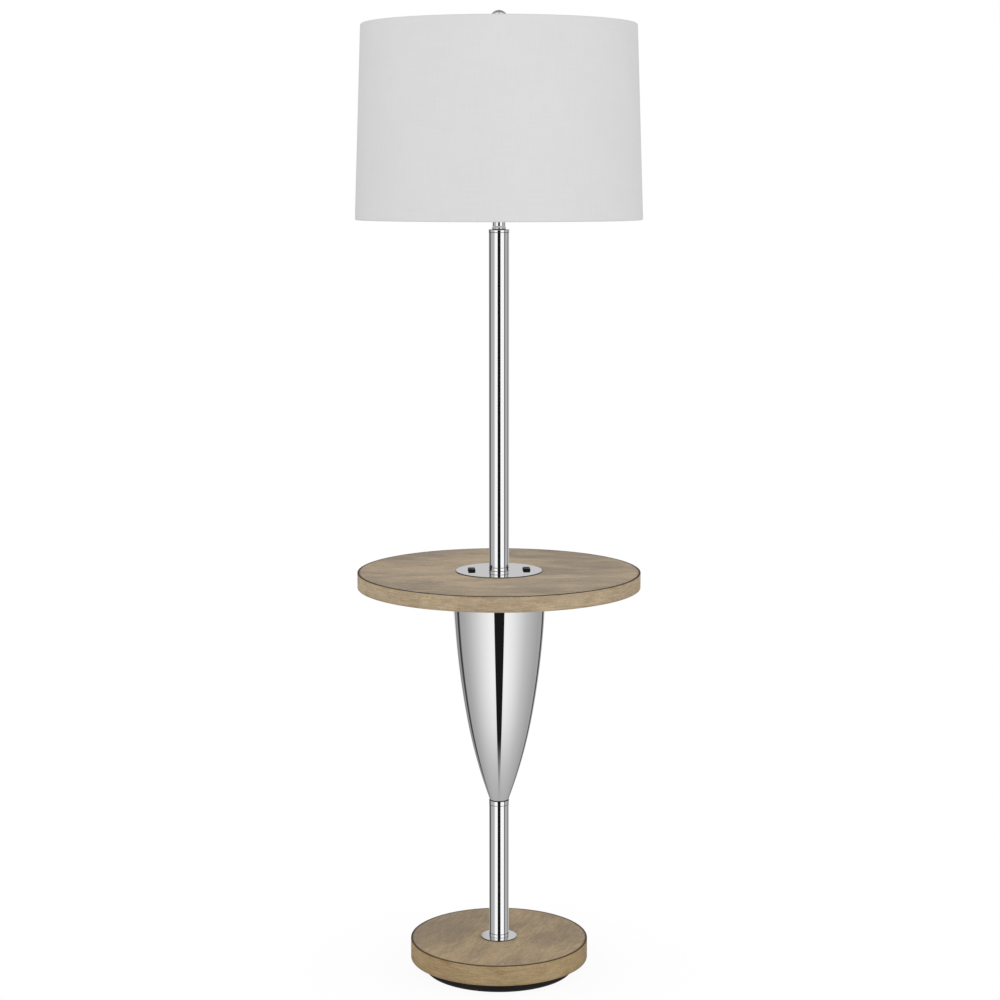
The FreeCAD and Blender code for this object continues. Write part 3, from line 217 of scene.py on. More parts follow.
def mix(share, first, second, kind="MIX"):
    """Mix of two colours or tones."""
    return share.into("ShaderNodeMixRGB", first, second, blend_type=kind)


def gap_at(angle, width):
    """Share of the dark gap between the two front screens in a direction."""
    off_gap = (angle - gap_middle).reckon("ABSOLUTE")
    return (off_gap - width).reckon("DIVIDE", -gap_softness, clamp=True)


room = bpy.data.worlds.new("studio_room")
room.use_nodes = True
bpy.context.scene.world = room
tree = room.node_tree
tree.nodes.clear()
bearing, angle = look_round(tree, "Generated")
rise = bearing["Z"]  # the sine of the rise of the line of sight, as in the levels above
is_high = rise.step(high_start, high_end)
gap_width = rise.step(narrow_start, narrow_end, 1.0, 1.0 - narrowing, "LINEAR") * gap_half_width
gap_width = is_high * (high_gap_half_width - gap_half_width) + gap_width
gap = gap_at(angle, gap_width) * rise.step(fade_start, fade_end, 1.0, 0.0)
walls = mix(rise.step(edge_fade_start, edge_fade_end), wall_ramp(angle, wall_tones),
            neutral(faded_edge_tone), "LIGHTEN")
walls = mix(is_high, walls, wall_ramp(angle, high_tones))
walls = mix(rise.step(ceiling_start, ceiling_end), walls, wall_ramp(angle, ceiling_tones))
walls = mix(rise.step(low_start, low_end), walls, neutral(low_tone))
mirror_view = mix(gap, walls, neutral(gap_tone))
rays = place_node(tree, "ShaderNodeLightPath")
mirrored = rays["Is Glossy Ray"].reckon("ADD", rays["Is Transmission Ray"], clamp=True)
shown = mix(rays["Is Camera Ray"], mix(mirrored, neutral(room_light), mirror_view), neutral(1))
shown.into("ShaderNodeBackground").into("ShaderNodeOutputWorld")

studio_lamps = {  # place, width, power
    "front_lamp": ((-1.1, -3.2, 2.3), 1.8, 26),
    "left_lamp": ((-2.9, -1.4, 2.0), 1.6, 6.5),
    "right_lamp": ((2.9, -1.4, 1.4), 1.6, 17),
}
lamp_target = Vector((0, 0, 0.85))
for name, (place, width, power) in studio_lamps.items():
    panel = bpy.data.lights.new(name, "AREA")
    panel.size, panel.energy = width, power
    lamp = put_up(name, panel)
    lamp.location = place
    lamp.rotation_euler = (lamp_target - Vector(place)).to_track_quat("-Z", "Y").to_euler()
    lamp.visible_glossy = lamp.visible_camera = False

# ------------------ studio: screens round the lower pole
# Low screens that only mirrors see, and only from inside, give the lower pole the tones that the
# upper one has from the walls. They lean in towards its top, so that the vase looks over them.
pole_radius, seam_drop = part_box("lower_pole")[1].x, 0.0021
screens_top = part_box("lower_pole_cap")[1].z - seam_drop
screen_profile = [(0.05, 0.03), (0.05, 0.2325), (0.0167, screens_top)]
screen_sides, mirror_steps = 96, 5

screen_mesh = bpy.data.meshes.new("studio_screens")
screen_mesh.from_pydata(
    [ring_point(radius, math.tau * side / screen_sides, level)
     for radius, level in screen_profile for side in range(screen_sides)], [],
    [(first + side, first + (side + 1) % screen_sides,
      first + screen_sides + (side + 1) % screen_sides, first + screen_sides + side)
     for first in (0, screen_sides) for side in range(screen_sides)])
screens = put_up("studio_screens", screen_mesh)
for ray in ("camera", "diffuse", "transmission", "volume_scatter", "shadow"):
    setattr(screens, "visible_" + ray, False)
screen_paint, tree = new_paint("studio_screens")
screen_paint.cycles.emission_sampling = "NONE"
turned = angle = look_round(tree, "Object")[1]
nearness = place_node(tree, "ShaderNodeMath", pole_radius, off_axis(tree), operation="DIVIDE")
for step in range(mirror_steps):  # nears the direction in which the pole's polish shows this spot
    angle = turned + ((angle * 0.5).reckon("SINE") * nearness).reckon("ARCSINE")
screen_view = mix(gap_at(angle, high_gap_half_width), wall_ramp(angle, high_tones),
                  neutral(gap_tone))
outside = place_node(tree, "ShaderNodeNewGeometry")["Backfacing"]
one_sided = outside.into("ShaderNodeMixShader", place_node(tree, "ShaderNodeBsdfTransparent"),
                         screen_view.into("ShaderNodeEmission"))
one_sided.into("ShaderNodeOutputMaterial")
screen_mesh.materials.append(screen_paint)

# ------------------ base weight and floor pad
# A round iron casting, turned flat and painted black, carries the lamp. A felt ring is glued under
# it, and a moulded bushing in its rim keeps the edge of the cord's hole smooth.
iron_colour, iron_roughness, iron_grain = (0.0115, 0.0085, 0.008, 1), 0.55, 900.0
felt_colour, felt_roughness, felt_grain = (0.022, 0.021, 0.021, 1), 0.95, 1600.0
moulding_colour, moulding_roughness, moulding_grain = (0.009, 0.009, 0.010, 1), 0.46, 2600.0


def new_finish(name, **look):
    """Material with one shader, whose own sockets hold the values that are the same all over."""
    finish, tree = new_paint(name)
    shader = place_node(tree, "ShaderNodeBsdfPrincipled", **look)
    shader.into("ShaderNodeOutputMaterial")
    return finish, shader


def new_effect(name, inputs, outputs, kind="ShaderNodeTree"):
    """Node group. Its inputs and outputs are given as names by kind of socket."""
    effect = bpy.data.node_groups.new(name, kind)
    for way, sockets in (("INPUT", inputs), ("OUTPUT", outputs)):
        for socket_kind, labels in sockets.items():
            for label in labels.split(", "):
                effect.interface.new_socket(label, in_out=way,
                                            socket_type="NodeSocket" + socket_kind)
    return effect, place_node(effect, "NodeGroupInput"), place_node(effect, "NodeGroupOutput")


def noise(place, scale, detail, roughness=0.6, **more):
    """Noise at a place."""
    return place.into("ShaderNodeTexNoise", Scale=scale, Detail=detail, Roughness=roughness,
                      **more)


def tint(tone, colour):
    """Colour made lighter or darker by a tone."""
    return place_node(tone.tree, "ShaderNodeVectorMath", colour, tone, operation="MULTIPLY")


def roughen(shader, height, strength, depth):
    """Bump from the height that a texture or a group puts out."""
    shader.feed(Normal=place_node(shader.tree, "ShaderNodeBump", Height=height, Strength=strength,
                                  Distance=depth))


# Fine pitted skin of moulded, cast and felted surfaces: uneven in tone, in gloss and in height.
pitted_skin, entry, leave = new_effect(
    "pitted_skin", {"Color": "Colour", "Float": "Unevenness, Roughness, Grain"},
    {"Color": "Colour", "Float": "Roughness, Height"})
spot = spot_of(pitted_skin)
swing = (noise(spot, 22.0, 4.0) - 0.5) * entry["Unevenness"]
leave.feed(Colour=tint(swing * 2.0 + 1.0, entry["Colour"]),
           Roughness=swing.reckon("ADD", entry["Roughness"], clamp=True),
           Height=noise(spot, entry["Grain"], 3.0))


def give_skin(shader, colour, roughness, grain, unevenness):
    """Feed the shader with the pitted skin, and hand back the height of its pits."""
    skin = place_node(shader.tree, "ShaderNodeGroup", node_tree=pitted_skin, Colour=colour,
                      Roughness=roughness, Grain=grain, Unevenness=unevenness)
    shader.feed(Base_Color=skin["Colour"], Roughness=skin["Roughness"])
    return skin["Height"]


def pitted_finish(name, colour, roughness, grain, unevenness=0.2, strength=0.4, depth=0.0001,
                  **look):
    """Moulded, cast or felted material."""
    finish, shader = new_finish(name, **look)
    roughen(shader, give_skin(shader, colour, roughness, grain, unevenness), strength, depth)
    return finish


def paint(finish, *names):
    """Give CAD nodes their material."""
    for name in names:
        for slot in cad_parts[name].material_slots:
            slot.material = finish


painted_iron = pitted_finish("painted_iron", iron_colour, iron_roughness, iron_grain, depth=0.0002,
                             Specular_IOR_Level=0.25)
black_felt = pitted_finish("black_felt", felt_colour, felt_roughness, felt_grain, strength=0.9,
                           depth=0.0004, Sheen_Weight=0.3)
black_moulding = pitted_finish("black_moulding", moulding_colour, moulding_roughness,
                               moulding_grain, Specular_IOR_Level=0.09)
paint(painted_iron, "base_weight")
paint(black_felt, "floor_pad")
for name in ("base_weight", "floor_pad"):
    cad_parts[name].visible_glossy = False
paint(black_moulding, "cord_bushing")

# ------------------ base board
# Round board of veneered fibreboard with a strip of the same oak bent round its edge and butted at
# the back. It is stained a weathered tan, rubbed grey in places, and burnished dark along the
# upper edge.
base_sides, base_seam, base_grain_turn = 192, math.radians(96), math.radians(-62)
sharp_angle, axis_reach = math.radians(30), 1e-7
base_band, board_gap, band_seam, wood_bevel, rod_hole = 0.0026, 0.0001, 0.0003, 0.0006, 0.0052
burnish_start, burnish_end, strip_burnish_start, strip_burnish_end = 0.0055, 0.0025, 0.0011, 0.0005
stain_height, oak_bump, oak_relief = 0.006, 0.5, 0.0002
oak_tan, oak_grey = (0.465, 0.35, 0.212, 1), (0.33, 0.256, 0.174, 1)
base_edge_tan, base_edge_grey = (0.42, 0.31, 0.172, 1), (0.335, 0.24, 0.125, 1)
oak_stain, oak_pore = (0.78, 0.65, 0.50, 1), (0.15, 0.095, 0.055, 1)
burnished, rim_shade, strip_shade, stain_shade = (0.062, 0.040, 0.024, 1), 0.55, 0.95, 0.22


def hoop(inner, outer, low, high):
    """Profile of a plain ring."""
    return [(inner, low), (outer, low), (outer, high), (inner, high)]


def soften(profile, corners, reach, steps=4):
    """Closed profile with some of its corners rounded."""
    points = []
    for place, point in enumerate(profile):
        if place not in corners:
            points.append(point)
            continue
        corner = Vector(point)
        ends = []
        for neighbour in (profile[place - 1], profile[(place + 1) % len(profile)]):
            side = Vector(neighbour) - corner
            ends.append(corner + side.normalized() * min(reach, side.length * 0.45))
        for share in (step / steps for step in range(steps + 1)):
            points.append(tuple(ends[0] * (1 - share) ** 2 + corner * 2 * share * (1 - share)
                                + ends[1] * share ** 2))
    return points


def turn_on_lathe(name, profile, sides=96, angles=None, lift=None):
    """Turned piece from a closed (radius, height) profile, drawn counter-clockwise. With angles it
    turns only through those and its ends are closed. The UV map is metres round and along."""
    whole = angles is None
    turns = [math.tau * side / sides for side in range(sides)] if whole else angles
    widest = max(radius for radius, level in profile)
    vertices, rows, on_axis = [], [], {}
    for turn in turns:
        row = []
        for place, (radius, level) in enumerate(profile):
            if lift:
                radius, level = lift(place, turn, radius, level)
            if radius < axis_reach:
                if place not in on_axis:
                    on_axis[place] = len(vertices)
                    vertices.append((0, 0, level))
                row.append(on_axis[place])
            else:
                row.append(len(vertices))
                vertices.append(ring_point(radius, turn, level))
        rows.append(row)
    along = [0.0]
    for start, end in zip(profile, profile[1:] + profile[:1]):
        along.append(along[-1] + math.dist(start, end))
    faces, corners = [], []
    for place in range(len(rows) if whole else len(rows) - 1):
        here, there = rows[place], rows[(place + 1) % len(rows)]
        u_here = turns[place] * widest
        u_there = (turns[place + 1] if place + 1 < len(turns) else turns[0] + math.tau) * widest
        for step in range(len(profile)):
            after = (step + 1) % len(profile)
            kept = {}  # a corner on the axis counts once
            for vertex, u, v in ((here[step], u_here, along[step]),
                                 (there[step], u_there, along[step]),
                                 (there[after], u_there, along[step + 1]),
                                 (here[after], u_here, along[step + 1])):
                kept.setdefault(vertex, (u, v))
            if len(kept) > 2:
                faces.append(list(kept))
                corners += kept.values()
    if not whole:
        faces += [rows[0][::-1], rows[-1]]
        corners += [(turns[0] * widest, v) for v in along[-2::-1]]
        corners += [(turns[-1] * widest, v) for v in along[:-1]]
    mesh = bpy.data.meshes.new(name)
    mesh.from_pydata(vertices, [], faces)
    uv = mesh.uv_layers.new(name="around_and_along")
    uv.data.foreach_set("uv", [number for corner in corners for number in corner])
    mesh.shade_smooth()
    mesh.set_sharp_from_angle(angle=sharp_angle)
    return put_up(name, mesh)


def fit(piece, finish, slot, body, *nodes):
    """Give a new piece its material and hang it on its body, in the place of CAD nodes. The slot is
    not used.
    """
    piece.data.materials.clear()
    piece.data.materials.append(finish)
    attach(piece, body)
    if nodes:
        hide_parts(*nodes)


# Rubbed oak: tan and grey patches, long fibres and short pores, drawn out along the vector's X.
oak_grain, entry, leave = new_effect(
    "oak_grain", {"Vector": "Vector", "Color": "Tan, Grey", "Float": "Stains"},
    {"Color": "Colour", "Float": "Roughness, Height"})


def drawn_out(scale, low, high, detail, roughness=0.55, distortion=0.0):
    """Marks where a noise with a scale along and across the grain rises from low to high."""
    stretch = entry["Vector"].into("ShaderNodeMapping", Scale=scale)
    return noise(stretch, 1.0, detail, roughness, Distortion=distortion).step(low, high)


patches = drawn_out((6, 13, 13), 0.36, 0.64, 6.0, 0.62, 0.3)
stains = drawn_out((26, 130, 130), 0.54, 0.74, 5.0, 0.65, 0.3) * entry["Stains"]
fibres = drawn_out((38, 420, 420), 0.32, 0.70, 5.0, 0.7, 0.2)
bands = drawn_out((22, 75, 75), 0.36, 0.68, 4.0, 0.6, 0.6)
speckle = drawn_out((180, 520, 520), 0.34, 0.66, 3.0, 0.6)
pores = drawn_out((150, 1100, 1100), 0.58, 0.70, 2.0, 0.5)
pores = pores * drawn_out((14, 60, 60), 0.46, 0.64, 3.0) * 0.75
toned_oak = mix(stains, mix(patches, entry["Tan"], entry["Grey"]), oak_stain, "MULTIPLY")
fibred = tint(fibres * -0.34 + 1.16, toned_oak)
banded = tint(bands * -0.06 + speckle * 0.16 + 0.95, fibred)
leave.feed(Colour=mix(pores, banded, oak_pore), Roughness=fibres * 0.10 + 0.50,
           Height=fibres * -0.35 - pores)


def lay_oak(name, **look):
    """Oak with its gloss and relief. Its grain and its colour are still to be fed."""
    finish, shader = new_finish(name, Specular_IOR_Level=0.12)
    oak = place_node(shader.tree, "ShaderNodeGroup", node_tree=oak_grain, **look)
    shader.feed(Roughness=oak["Roughness"])
    roughen(shader, oak["Height"], oak_bump, oak_relief)
    return finish, shader, oak


def board_finish(name, radius, grain_turn, tan, grey, middle_tone=1.0):
    """Veneered face: grain turned about the middle, a little darker where the rim was burnished,
    and made lighter towards the middle or left as it is there."""
    finish, shader, oak = lay_oak(name, Tan=tan, Grey=grey)
    oak.feed(Vector=spot_of(oak.tree).into("ShaderNodeMapping", Rotation=(0, 0, grain_turn)))
    reach = off_axis(oak.tree)
    toned_oak = tint(reach.step(radius * 0.4, radius * 0.9, middle_tone, 1.0), oak["Colour"])
    rim = reach.step(radius - burnish_start, radius - burnish_end, 0.0, rim_shade)
    shader.feed(Base_Color=mix(rim, toned_oak, burnished))
    return finish


def level_of(tree):
    """Height of the shaded spot."""
    return spot_of(tree).into("ShaderNodeSeparateXYZ")["Z"]


def band_finish(name, bottom, top, tan, grey):
    """Edge strip: grain round the rim, burnished upper edge, a little stain held at the lower."""
    finish, shader, oak = lay_oak(name, Tan=tan, Grey=grey, Stains=1.0)
    oak.feed(Vector=place_node(oak.tree, "ShaderNodeUVMap", uv_map="around_and_along"))
    level = level_of(oak.tree)
    lower = level.step(bottom + stain_height, bottom, 0.0, stain_shade)
    upper = level.step(top - strip_burnish_start, top - strip_burnish_end, 0.0, strip_shade)
    shader.feed(Base_Color=mix(upper, mix(lower, oak["Colour"], oak_pore), burnished))
    return finish


def edge_strip(name, node, tan, grey, band, sides, seam):
    """Strip bent round a board, both its outer corners eased, its ends butted at the seam."""
    low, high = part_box(node)
    turn = math.tau - band_seam / high.x
    profile = soften(hoop(high.x - band, high.x, low.z, high.z), (1, 2), wood_bevel)
    strip = turn_on_lathe(name, profile,
                          angles=[seam + turn * side / sides for side in range(sides + 1)])
    strip.visible_glossy = False
    fit(strip, band_finish(name + "_oak", low.z, high.z, tan, grey), "wood_edge", "stand", node)


low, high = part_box("base_edge_band")
board = turn_on_lathe("base_board", hoop(rod_hole, high.x - base_band - board_gap, low.z, high.z),
                      base_sides)
board.visible_glossy = False
fit(board, board_finish("base_oak", high.x, base_grain_turn, oak_tan, oak_grey), "wood_top",
    "stand", "base_core")
edge_strip("base_strip", "base_edge_band", base_edge_tan, base_edge_grey, base_band, base_sides,
           base_seam)

# ------------------ flange, lower pole and its collars
# Steel tube between two turned collars on a small polished flange, all nickel plated and buffed to
# a mirror. The pipe inside clamps the flange and collars, with a fine groove at each joint. The
# joints
# are painted dark: partly polish residue, partly painted shade where one part sits on another.
pole_sides, collar_bevel, flange_bevel = 128, 0.0006, 0.0004
pole_wall, spigot_gap = 0.0012, 0.0001
# The residue colour darkens joints and cut edges: partly polish residue, partly painted shade.
nickel_colour, residue_and_shade_colour = (0.945, 0.945, 0.95, 1), (0.11, 0.10, 0.095, 1)
joint_half, cut_edge, polish_relief = 0.00045, 0.00035, 0.000005

# Buffed metal: faint turning lines round the piece and wiped haze in its gloss.
polish_marks, entry, leave = new_effect(
    "polish_marks", {"Float": "Roughness, Haze, Spacing"}, {"Float": "Roughness, Height"})
smear = noise(spot_of(polish_marks), 16.0, 4.0, 0.65).step(0.46, 0.80)
leave.feed(Roughness=smear * entry["Haze"] + entry["Roughness"],
           Height=place_node(polish_marks, "ShaderNodeTexNoise", Scale=1.0, Detail=2.0,
                             W=level_of(polish_marks) / entry["Spacing"], noise_dimensions="1D"))


def polished_finish(name, colour=nickel_colour, roughness=0.018, haze=0.015, spacing=0.0006,
                    strength=0.006, joints=(), edge=0.0):
    """Buffed and plated metal. Its joints, at some levels, are painted dark and dull: partly polish
    residue, partly painted shade where one part sits on another. The cut edge of a disc past a
    radius is left dull and dark, in the same mix of residue and painted shade."""
    finish, shader = new_finish(name, Base_Color=colour, Metallic=1.0)
    marks = place_node(shader.tree, "ShaderNodeGroup", node_tree=polish_marks,
                       Roughness=roughness, Haze=haze, Spacing=spacing)
    shader.feed(Roughness=marks)
    roughen(shader, marks["Height"], strength, polish_relief)
    dull = off_axis(shader.tree).reckon("GREATER_THAN", edge) if edge else None
    for joint in joints:
        off = level_of(shader.tree).reckon("COMPARE", joint, joint_half)
        dull = dull.reckon("MAXIMUM", off) if dull else off
    # Joints and the cut edge get the dark colour and more roughness: partly residue, partly painted
    # shade.
    if dull:
        shader.feed(Base_Color=mix(dull, colour, residue_and_shade_colour), Roughness=dull * 0.4 + marks)
    return finish


def fit_turned(name, node, finish, profile, sides=pole_sides, body="stand"):
    """Turned and plated piece in the place of a CAD node."""
    fit(turn_on_lathe(name, profile, sides), finish, "polished_chrome", body, node)


low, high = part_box("base_flange")
fit_turned("flange", "base_flange", polished_finish("flange_nickel", edge=high.x - cut_edge),
           soften(hoop(rod_hole, high.x, low.z, high.z), (2,), flange_bevel))


def make_pole(tube):
    """Tube and the turned collars under and over it, with their spigots inside the tube."""
    low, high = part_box(tube)
    foot_low, foot_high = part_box(tube + "_foot")
    cap_low, cap_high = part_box(tube + "_cap")
    # Dark rings at the seams, where the foot meets the flange or plate and the cap meets the vase
    # or neck: partly polish residue, partly painted shade.
    nickel = polished_finish(tube + "_nickel", joints=(foot_low.z, low.z, high.z, cap_high.z))
    bore = high.x - pole_wall
    spigot = bore - spigot_gap
    fit_turned(tube + "_tube", tube, nickel, hoop(bore, high.x, low.z, high.z))
    fit_turned(tube + "_foot_collar", tube + "_foot", nickel, soften([
        (rod_hole, foot_low.z), (foot_high.x, foot_low.z), (foot_high.x, low.z), (spigot, low.z),
        (spigot, foot_high.z), (rod_hole, foot_high.z)], (2,), collar_bevel))
    fit_turned(tube + "_cap_collar", tube + "_cap", nickel, soften([
        (rod_hole, cap_low.z), (spigot, cap_low.z), (spigot, high.z), (cap_high.x, high.z),
        (cap_high.x, cap_high.z), (rod_hole, cap_high.z)], (3, 4), collar_bevel))


make_pole("lower_pole")

# ------------------ threaded pipe, nuts and washers
# Zinc plated running thread, cut as two lengths and joined inside the vase. Hex nuts and washers
# clamp the base, the vase and the table on it.
zinc_colour, zinc_roughness, zinc_grain = (0.46, 0.47, 0.45, 1), 0.36, 1400.0
pipe_pitch, thread_depth = 0.00094, 0.0003

# Rolled or cut thread round the Z axis, as a height.
screw_thread, entry, leave = new_effect("screw_thread", {"Float": "Pitch"}, {"Float": "Height"})
spot = spot_of(screw_thread).into("ShaderNodeSeparateXYZ")
turned = spot["Y"].reckon("ARCTAN2", spot["X"])
leave.feed((spot["Z"] / entry["Pitch"] * math.tau + turned).reckon("SINE"))


def threaded_finish(name, colour, roughness, pitch):
    """Plated metal with a thread round it."""
    finish, shader = new_finish(name, Metallic=1.0)
    give_skin(shader, colour, roughness, zinc_grain, 0.15)
    thread = place_node(shader.tree, "ShaderNodeGroup", node_tree=screw_thread, Pitch=pitch)
    roughen(shader, thread, 1.0, thread_depth)
    return finish


zinc_plate = pitted_finish("zinc_plate", zinc_colour, zinc_roughness, zinc_grain, 0.15, 0.15,
                           0.00003, Metallic=1.0)
paint(threaded_finish("zinc_thread", zinc_colour, zinc_roughness, pipe_pitch), "lower_rod",
      "upper_rod")
paint(zinc_plate, "base_washer", "base_nut", "rod_coupler", "vase_washer", "vase_nut", "table_nut")

# ------------------ vase
# Bullet-shaped shell spun from thin sheet over a former: a long flat arc from foot to knee, a
# flatter one up to the rim, and a lip turned in under the table. Plated and buffed like the poles.
vase_foot, vase_knee, vase_knee_level, vase_lip = 0.0153, 0.0542, 0.142, 0.005
vase_lower_arc, vase_upper_arc, vase_wall = 0.820, 1.370, 0.0012
vase_sides, vase_rows, weld = 192, 96, 0.00001


def grow(name, tree, **sizes):
    """Run a Geometry Nodes tree with its named sizes and keep what it makes as a plain mesh."""
    holder = put_up(name + "_start", bpy.data.meshes.new(name + "_start"))
    modifier = holder.modifiers.new(name, "NODES")
    modifier.node_group = tree
    sockets = {item.name: item.identifier for item in tree.interface.items_tree
               if item.item_type == "SOCKET" and item.in_out == "INPUT"}
    for label, size in sizes.items():
        modifier[sockets[label.replace("_", " ")]] = size
    holder.data.update()
    made = holder.evaluated_get(bpy.context.evaluated_depsgraph_get())
    mesh = bpy.data.meshes.new_from_object(made)
    holder.modifiers.remove(modifier)
    bpy.data.objects.remove(holder)
    mesh.name = name
    mesh.set_sharp_from_angle(angle=sharp_angle)
    return put_up(name, mesh)


def end_tree(geometry, entry, leave):
    """Close a Geometry Nodes tree: instances made real, and their material."""
    real = geometry.into("GeometryNodeRealizeInstances")
    leave.feed(real.into("GeometryNodeSetMaterial", Material=entry["Finish"]))


spun_shell, entry, leave = new_effect("spun_shell", {
    "Float": "Hole, Foot, Knee, Knee Level, Rim, Lip, Bottom, Height, Lower Arc, Upper Arc, Wall",
    "Int": "Sides, Rows", "Material": "Finish"}, {"Geometry": "Geometry"}, "GeometryNodeTree")


def arc_radius(level, low_radius, low_level, high_radius, high_level, arc):
    """Radius at a level on an arc that bulges outwards between two points of the profile."""
    run, rise = high_radius - low_radius, high_level - low_level
    depth = (arc * arc / (run * run + rise * rise) - 0.25).reckon("SQRT")
    above = level - ((high_level + low_level) * 0.5 + run * depth)
    across = (arc * arc - above * above).reckon("SQRT")
    return (low_radius + high_radius) * 0.5 - rise * depth + across


net = place_node(spun_shell, "GeometryNodeMeshGrid", Size_X=1.0, Size_Y=1.0,
                 Vertices_X=entry["Sides"] + 1.0, Vertices_Y=entry["Rows"] + 3.0)
share = place_node(spun_shell, "GeometryNodeInputPosition").into("ShaderNodeSeparateXYZ")
turn = share["X"] * math.tau + math.pi
row = (share["Y"] + 0.5) * (entry["Rows"] + 2.0)
climb = ((row - 1.0) / entry["Rows"]).reckon("MAXIMUM", 0.0).reckon("MINIMUM", 1.0)
level = climb * entry["Height"]
below = arc_radius(level, entry["Foot"], 0.0, entry["Knee"], entry["Knee Level"],
                   entry["Lower Arc"])
above = arc_radius(level, entry["Knee"], entry["Knee Level"], entry["Rim"], entry["Height"],
                   entry["Upper Arc"])
radius = (above - below) * level.reckon("GREATER_THAN", entry["Knee Level"]) + below
radius = radius - row.reckon("GREATER_THAN", entry["Rows"] + 1.5) * entry["Lip"]
radius = (entry["Hole"] - radius) * row.reckon("LESS_THAN", 0.5) + radius
place = place_node(spun_shell, "ShaderNodeCombineXYZ", radius * turn.reckon("COSINE"),
                   radius * turn.reckon("SINE"), level + entry["Bottom"])
spun = net.into("GeometryNodeSetPosition", Position=place)
outer = spun.into("GeometryNodeMergeByDistance", Distance=weld)
inner = outer.into("GeometryNodeExtrudeMesh", Offset_Scale=entry["Wall"] * -1.0, Individual=False)
both = outer.into("GeometryNodeJoinGeometry")
both.feed(inner.into("GeometryNodeFlipFaces"))
closed = both.into("GeometryNodeMergeByDistance", Distance=weld)
end_tree(closed.into("GeometryNodeSetShadeSmooth"), entry, leave)

low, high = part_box("vase")
# Dark ring at the foot, where the vase sits on the cap collar: partly polish residue, partly
# painted shade.
spun_nickel = polished_finish("spun_nickel", spacing=0.0011, strength=0.012,
                              joints=(low.z, low.z + 2 * joint_half))
vase = grow("vase_shell", spun_shell, Hole=rod_hole, Foot=vase_foot, Knee=vase_knee,
            Knee_Level=vase_knee_level, Rim=high.x, Lip=vase_lip, Bottom=low.z,
            Height=high.z - low.z, Lower_Arc=vase_lower_arc, Upper_Arc=vase_upper_arc,
            Wall=vase_wall, Sides=vase_sides, Rows=vase_rows, Finish=spun_nickel)
fit(vase, spun_nickel, "polished_chrome", "stand", "vase")

# ------------------ table top and its bracket
# The same veneered board and edge strip as the base, with the grain running straight across. A flat
# steel bracket is screwed under it with four pan head screws and clamped between vase and nut.
table_sides, table_seam, table_band = 256, math.radians(-126), 0.003
# The table top is made lighter towards its middle by its middle tone.
table_grain_turn, table_middle_tone = math.radians(3), 1.12
table_tan, table_grey = (0.49, 0.385, 0.262, 1), (0.335, 0.27, 0.205, 1)
table_edge_tan, table_edge_grey = (0.50, 0.395, 0.255, 1), (0.40, 0.31, 0.205, 1)

edge_strip("table_strip", "table_edge_band", table_edge_tan, table_edge_grey, table_band,
           table_sides, table_seam)
table_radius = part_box("table_edge_band")[1].x
paint(board_finish("table_oak", table_radius, table_grain_turn, table_tan, table_grey,
                   table_middle_tone), "table_core")
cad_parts["table_core"].visible_glossy = False
paint(zinc_plate, "table_bracket")

# ------------------ bracket screws
# Four zinc plated wood screws with domed pan heads and a cross recess. They hang head down under
# the bracket, two at each end, and their points stop inside the table.
screw_head, screw_dome, screw_shank, screw_point = 0.0038, 0.0024, 0.0019, 0.003
recess_length, recess_width, recess_depth = 0.0042, 0.0011, 0.0014
screw_sides, dome_rings = 24, 12

pan_screws, entry, leave = new_effect("pan_screws", {
    "Float": "Along, Across, Level, Length, Head, Dome, Shank, Point, Recess Length, Recess Width, "
             "Recess Depth",
    "Int": "Sides", "Material": "Finish"}, {"Geometry": "Geometry"}, "GeometryNodeTree")


def screw_size(x=0.0, y=0.0, z=0.0):
    """Size or shift from three values."""
    return place_node(pan_screws, "ShaderNodeCombineXYZ", x, y, z)


def screw_part(kind, level, **sizes):
    """Plain mesh (block, cylinder, cone or grid), moved up to its level."""
    part = place_node(pan_screws, "GeometryNodeMesh" + kind, **sizes)
    return part.into("GeometryNodeTransform", Translation=screw_size(z=level))


head, dome_height, shank = entry["Head"], entry["Dome"], entry["Shank"]
dome = entry["Sides"].into("GeometryNodeMeshUVSphere", dome_rings, 1.0)
dome = dome.into("GeometryNodeTransform", Scale=screw_size(head, head, dome_height))
cuts = [screw_part("Cube", head * 2.0, Size=screw_size(*[head * 4.0] * 3))]  # the upper half
for ways in (("Length", "Width"), ("Width", "Length")):
    slot = screw_size(*[entry["Recess " + way] for way in ways], entry["Recess Depth"] * 2.0)
    cuts.append(screw_part("Cube", dome_height * -1.0, Size=slot))
for cut in cuts:
    dome = place_node(pan_screws, "GeometryNodeMeshBoolean", Mesh_1=dome, Mesh_2=cut,
                      operation="DIFFERENCE", solver="EXACT")
shank_length = entry["Length"] - entry["Point"]
rod = screw_part("Cylinder", shank_length * 0.5, Vertices=entry["Sides"], Radius=shank,
                 Depth=shank_length)
tip = screw_part("Cone", shank_length, Vertices=entry["Sides"], Radius_Top=0.0,
                 Radius_Bottom=shank, Depth=entry["Point"])
screw = place_node(pan_screws, "GeometryNodeJoinGeometry")
for part in (dome, rod, tip):
    screw.feed(part)
screw = screw.into("GeometryNodeSetShadeSmooth")
places = screw_part("Grid", entry["Level"], Size_X=entry["Across"], Size_Y=entry["Along"],
                    Vertices_X=2, Vertices_Y=2)
end_tree(places.into("GeometryNodeInstanceOnPoints", Instance=screw), entry, leave)

low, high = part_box("bracket_screws")
screws = grow("pan_head_screws", pan_screws, Along=high.y - low.y - 2 * screw_head,
              Across=high.x - low.x - 2 * screw_head, Level=low.z + screw_dome,
              Length=high.z - low.z - screw_dome, Head=screw_head, Dome=screw_dome,
              Shank=screw_shank, Point=screw_point, Recess_Length=recess_length,
              Recess_Width=recess_width, Recess_Depth=recess_depth, Sides=screw_sides,
              Finish=zinc_plate)
fit(screws, zinc_plate, "zinc_steel", "stand", "bracket_screws")

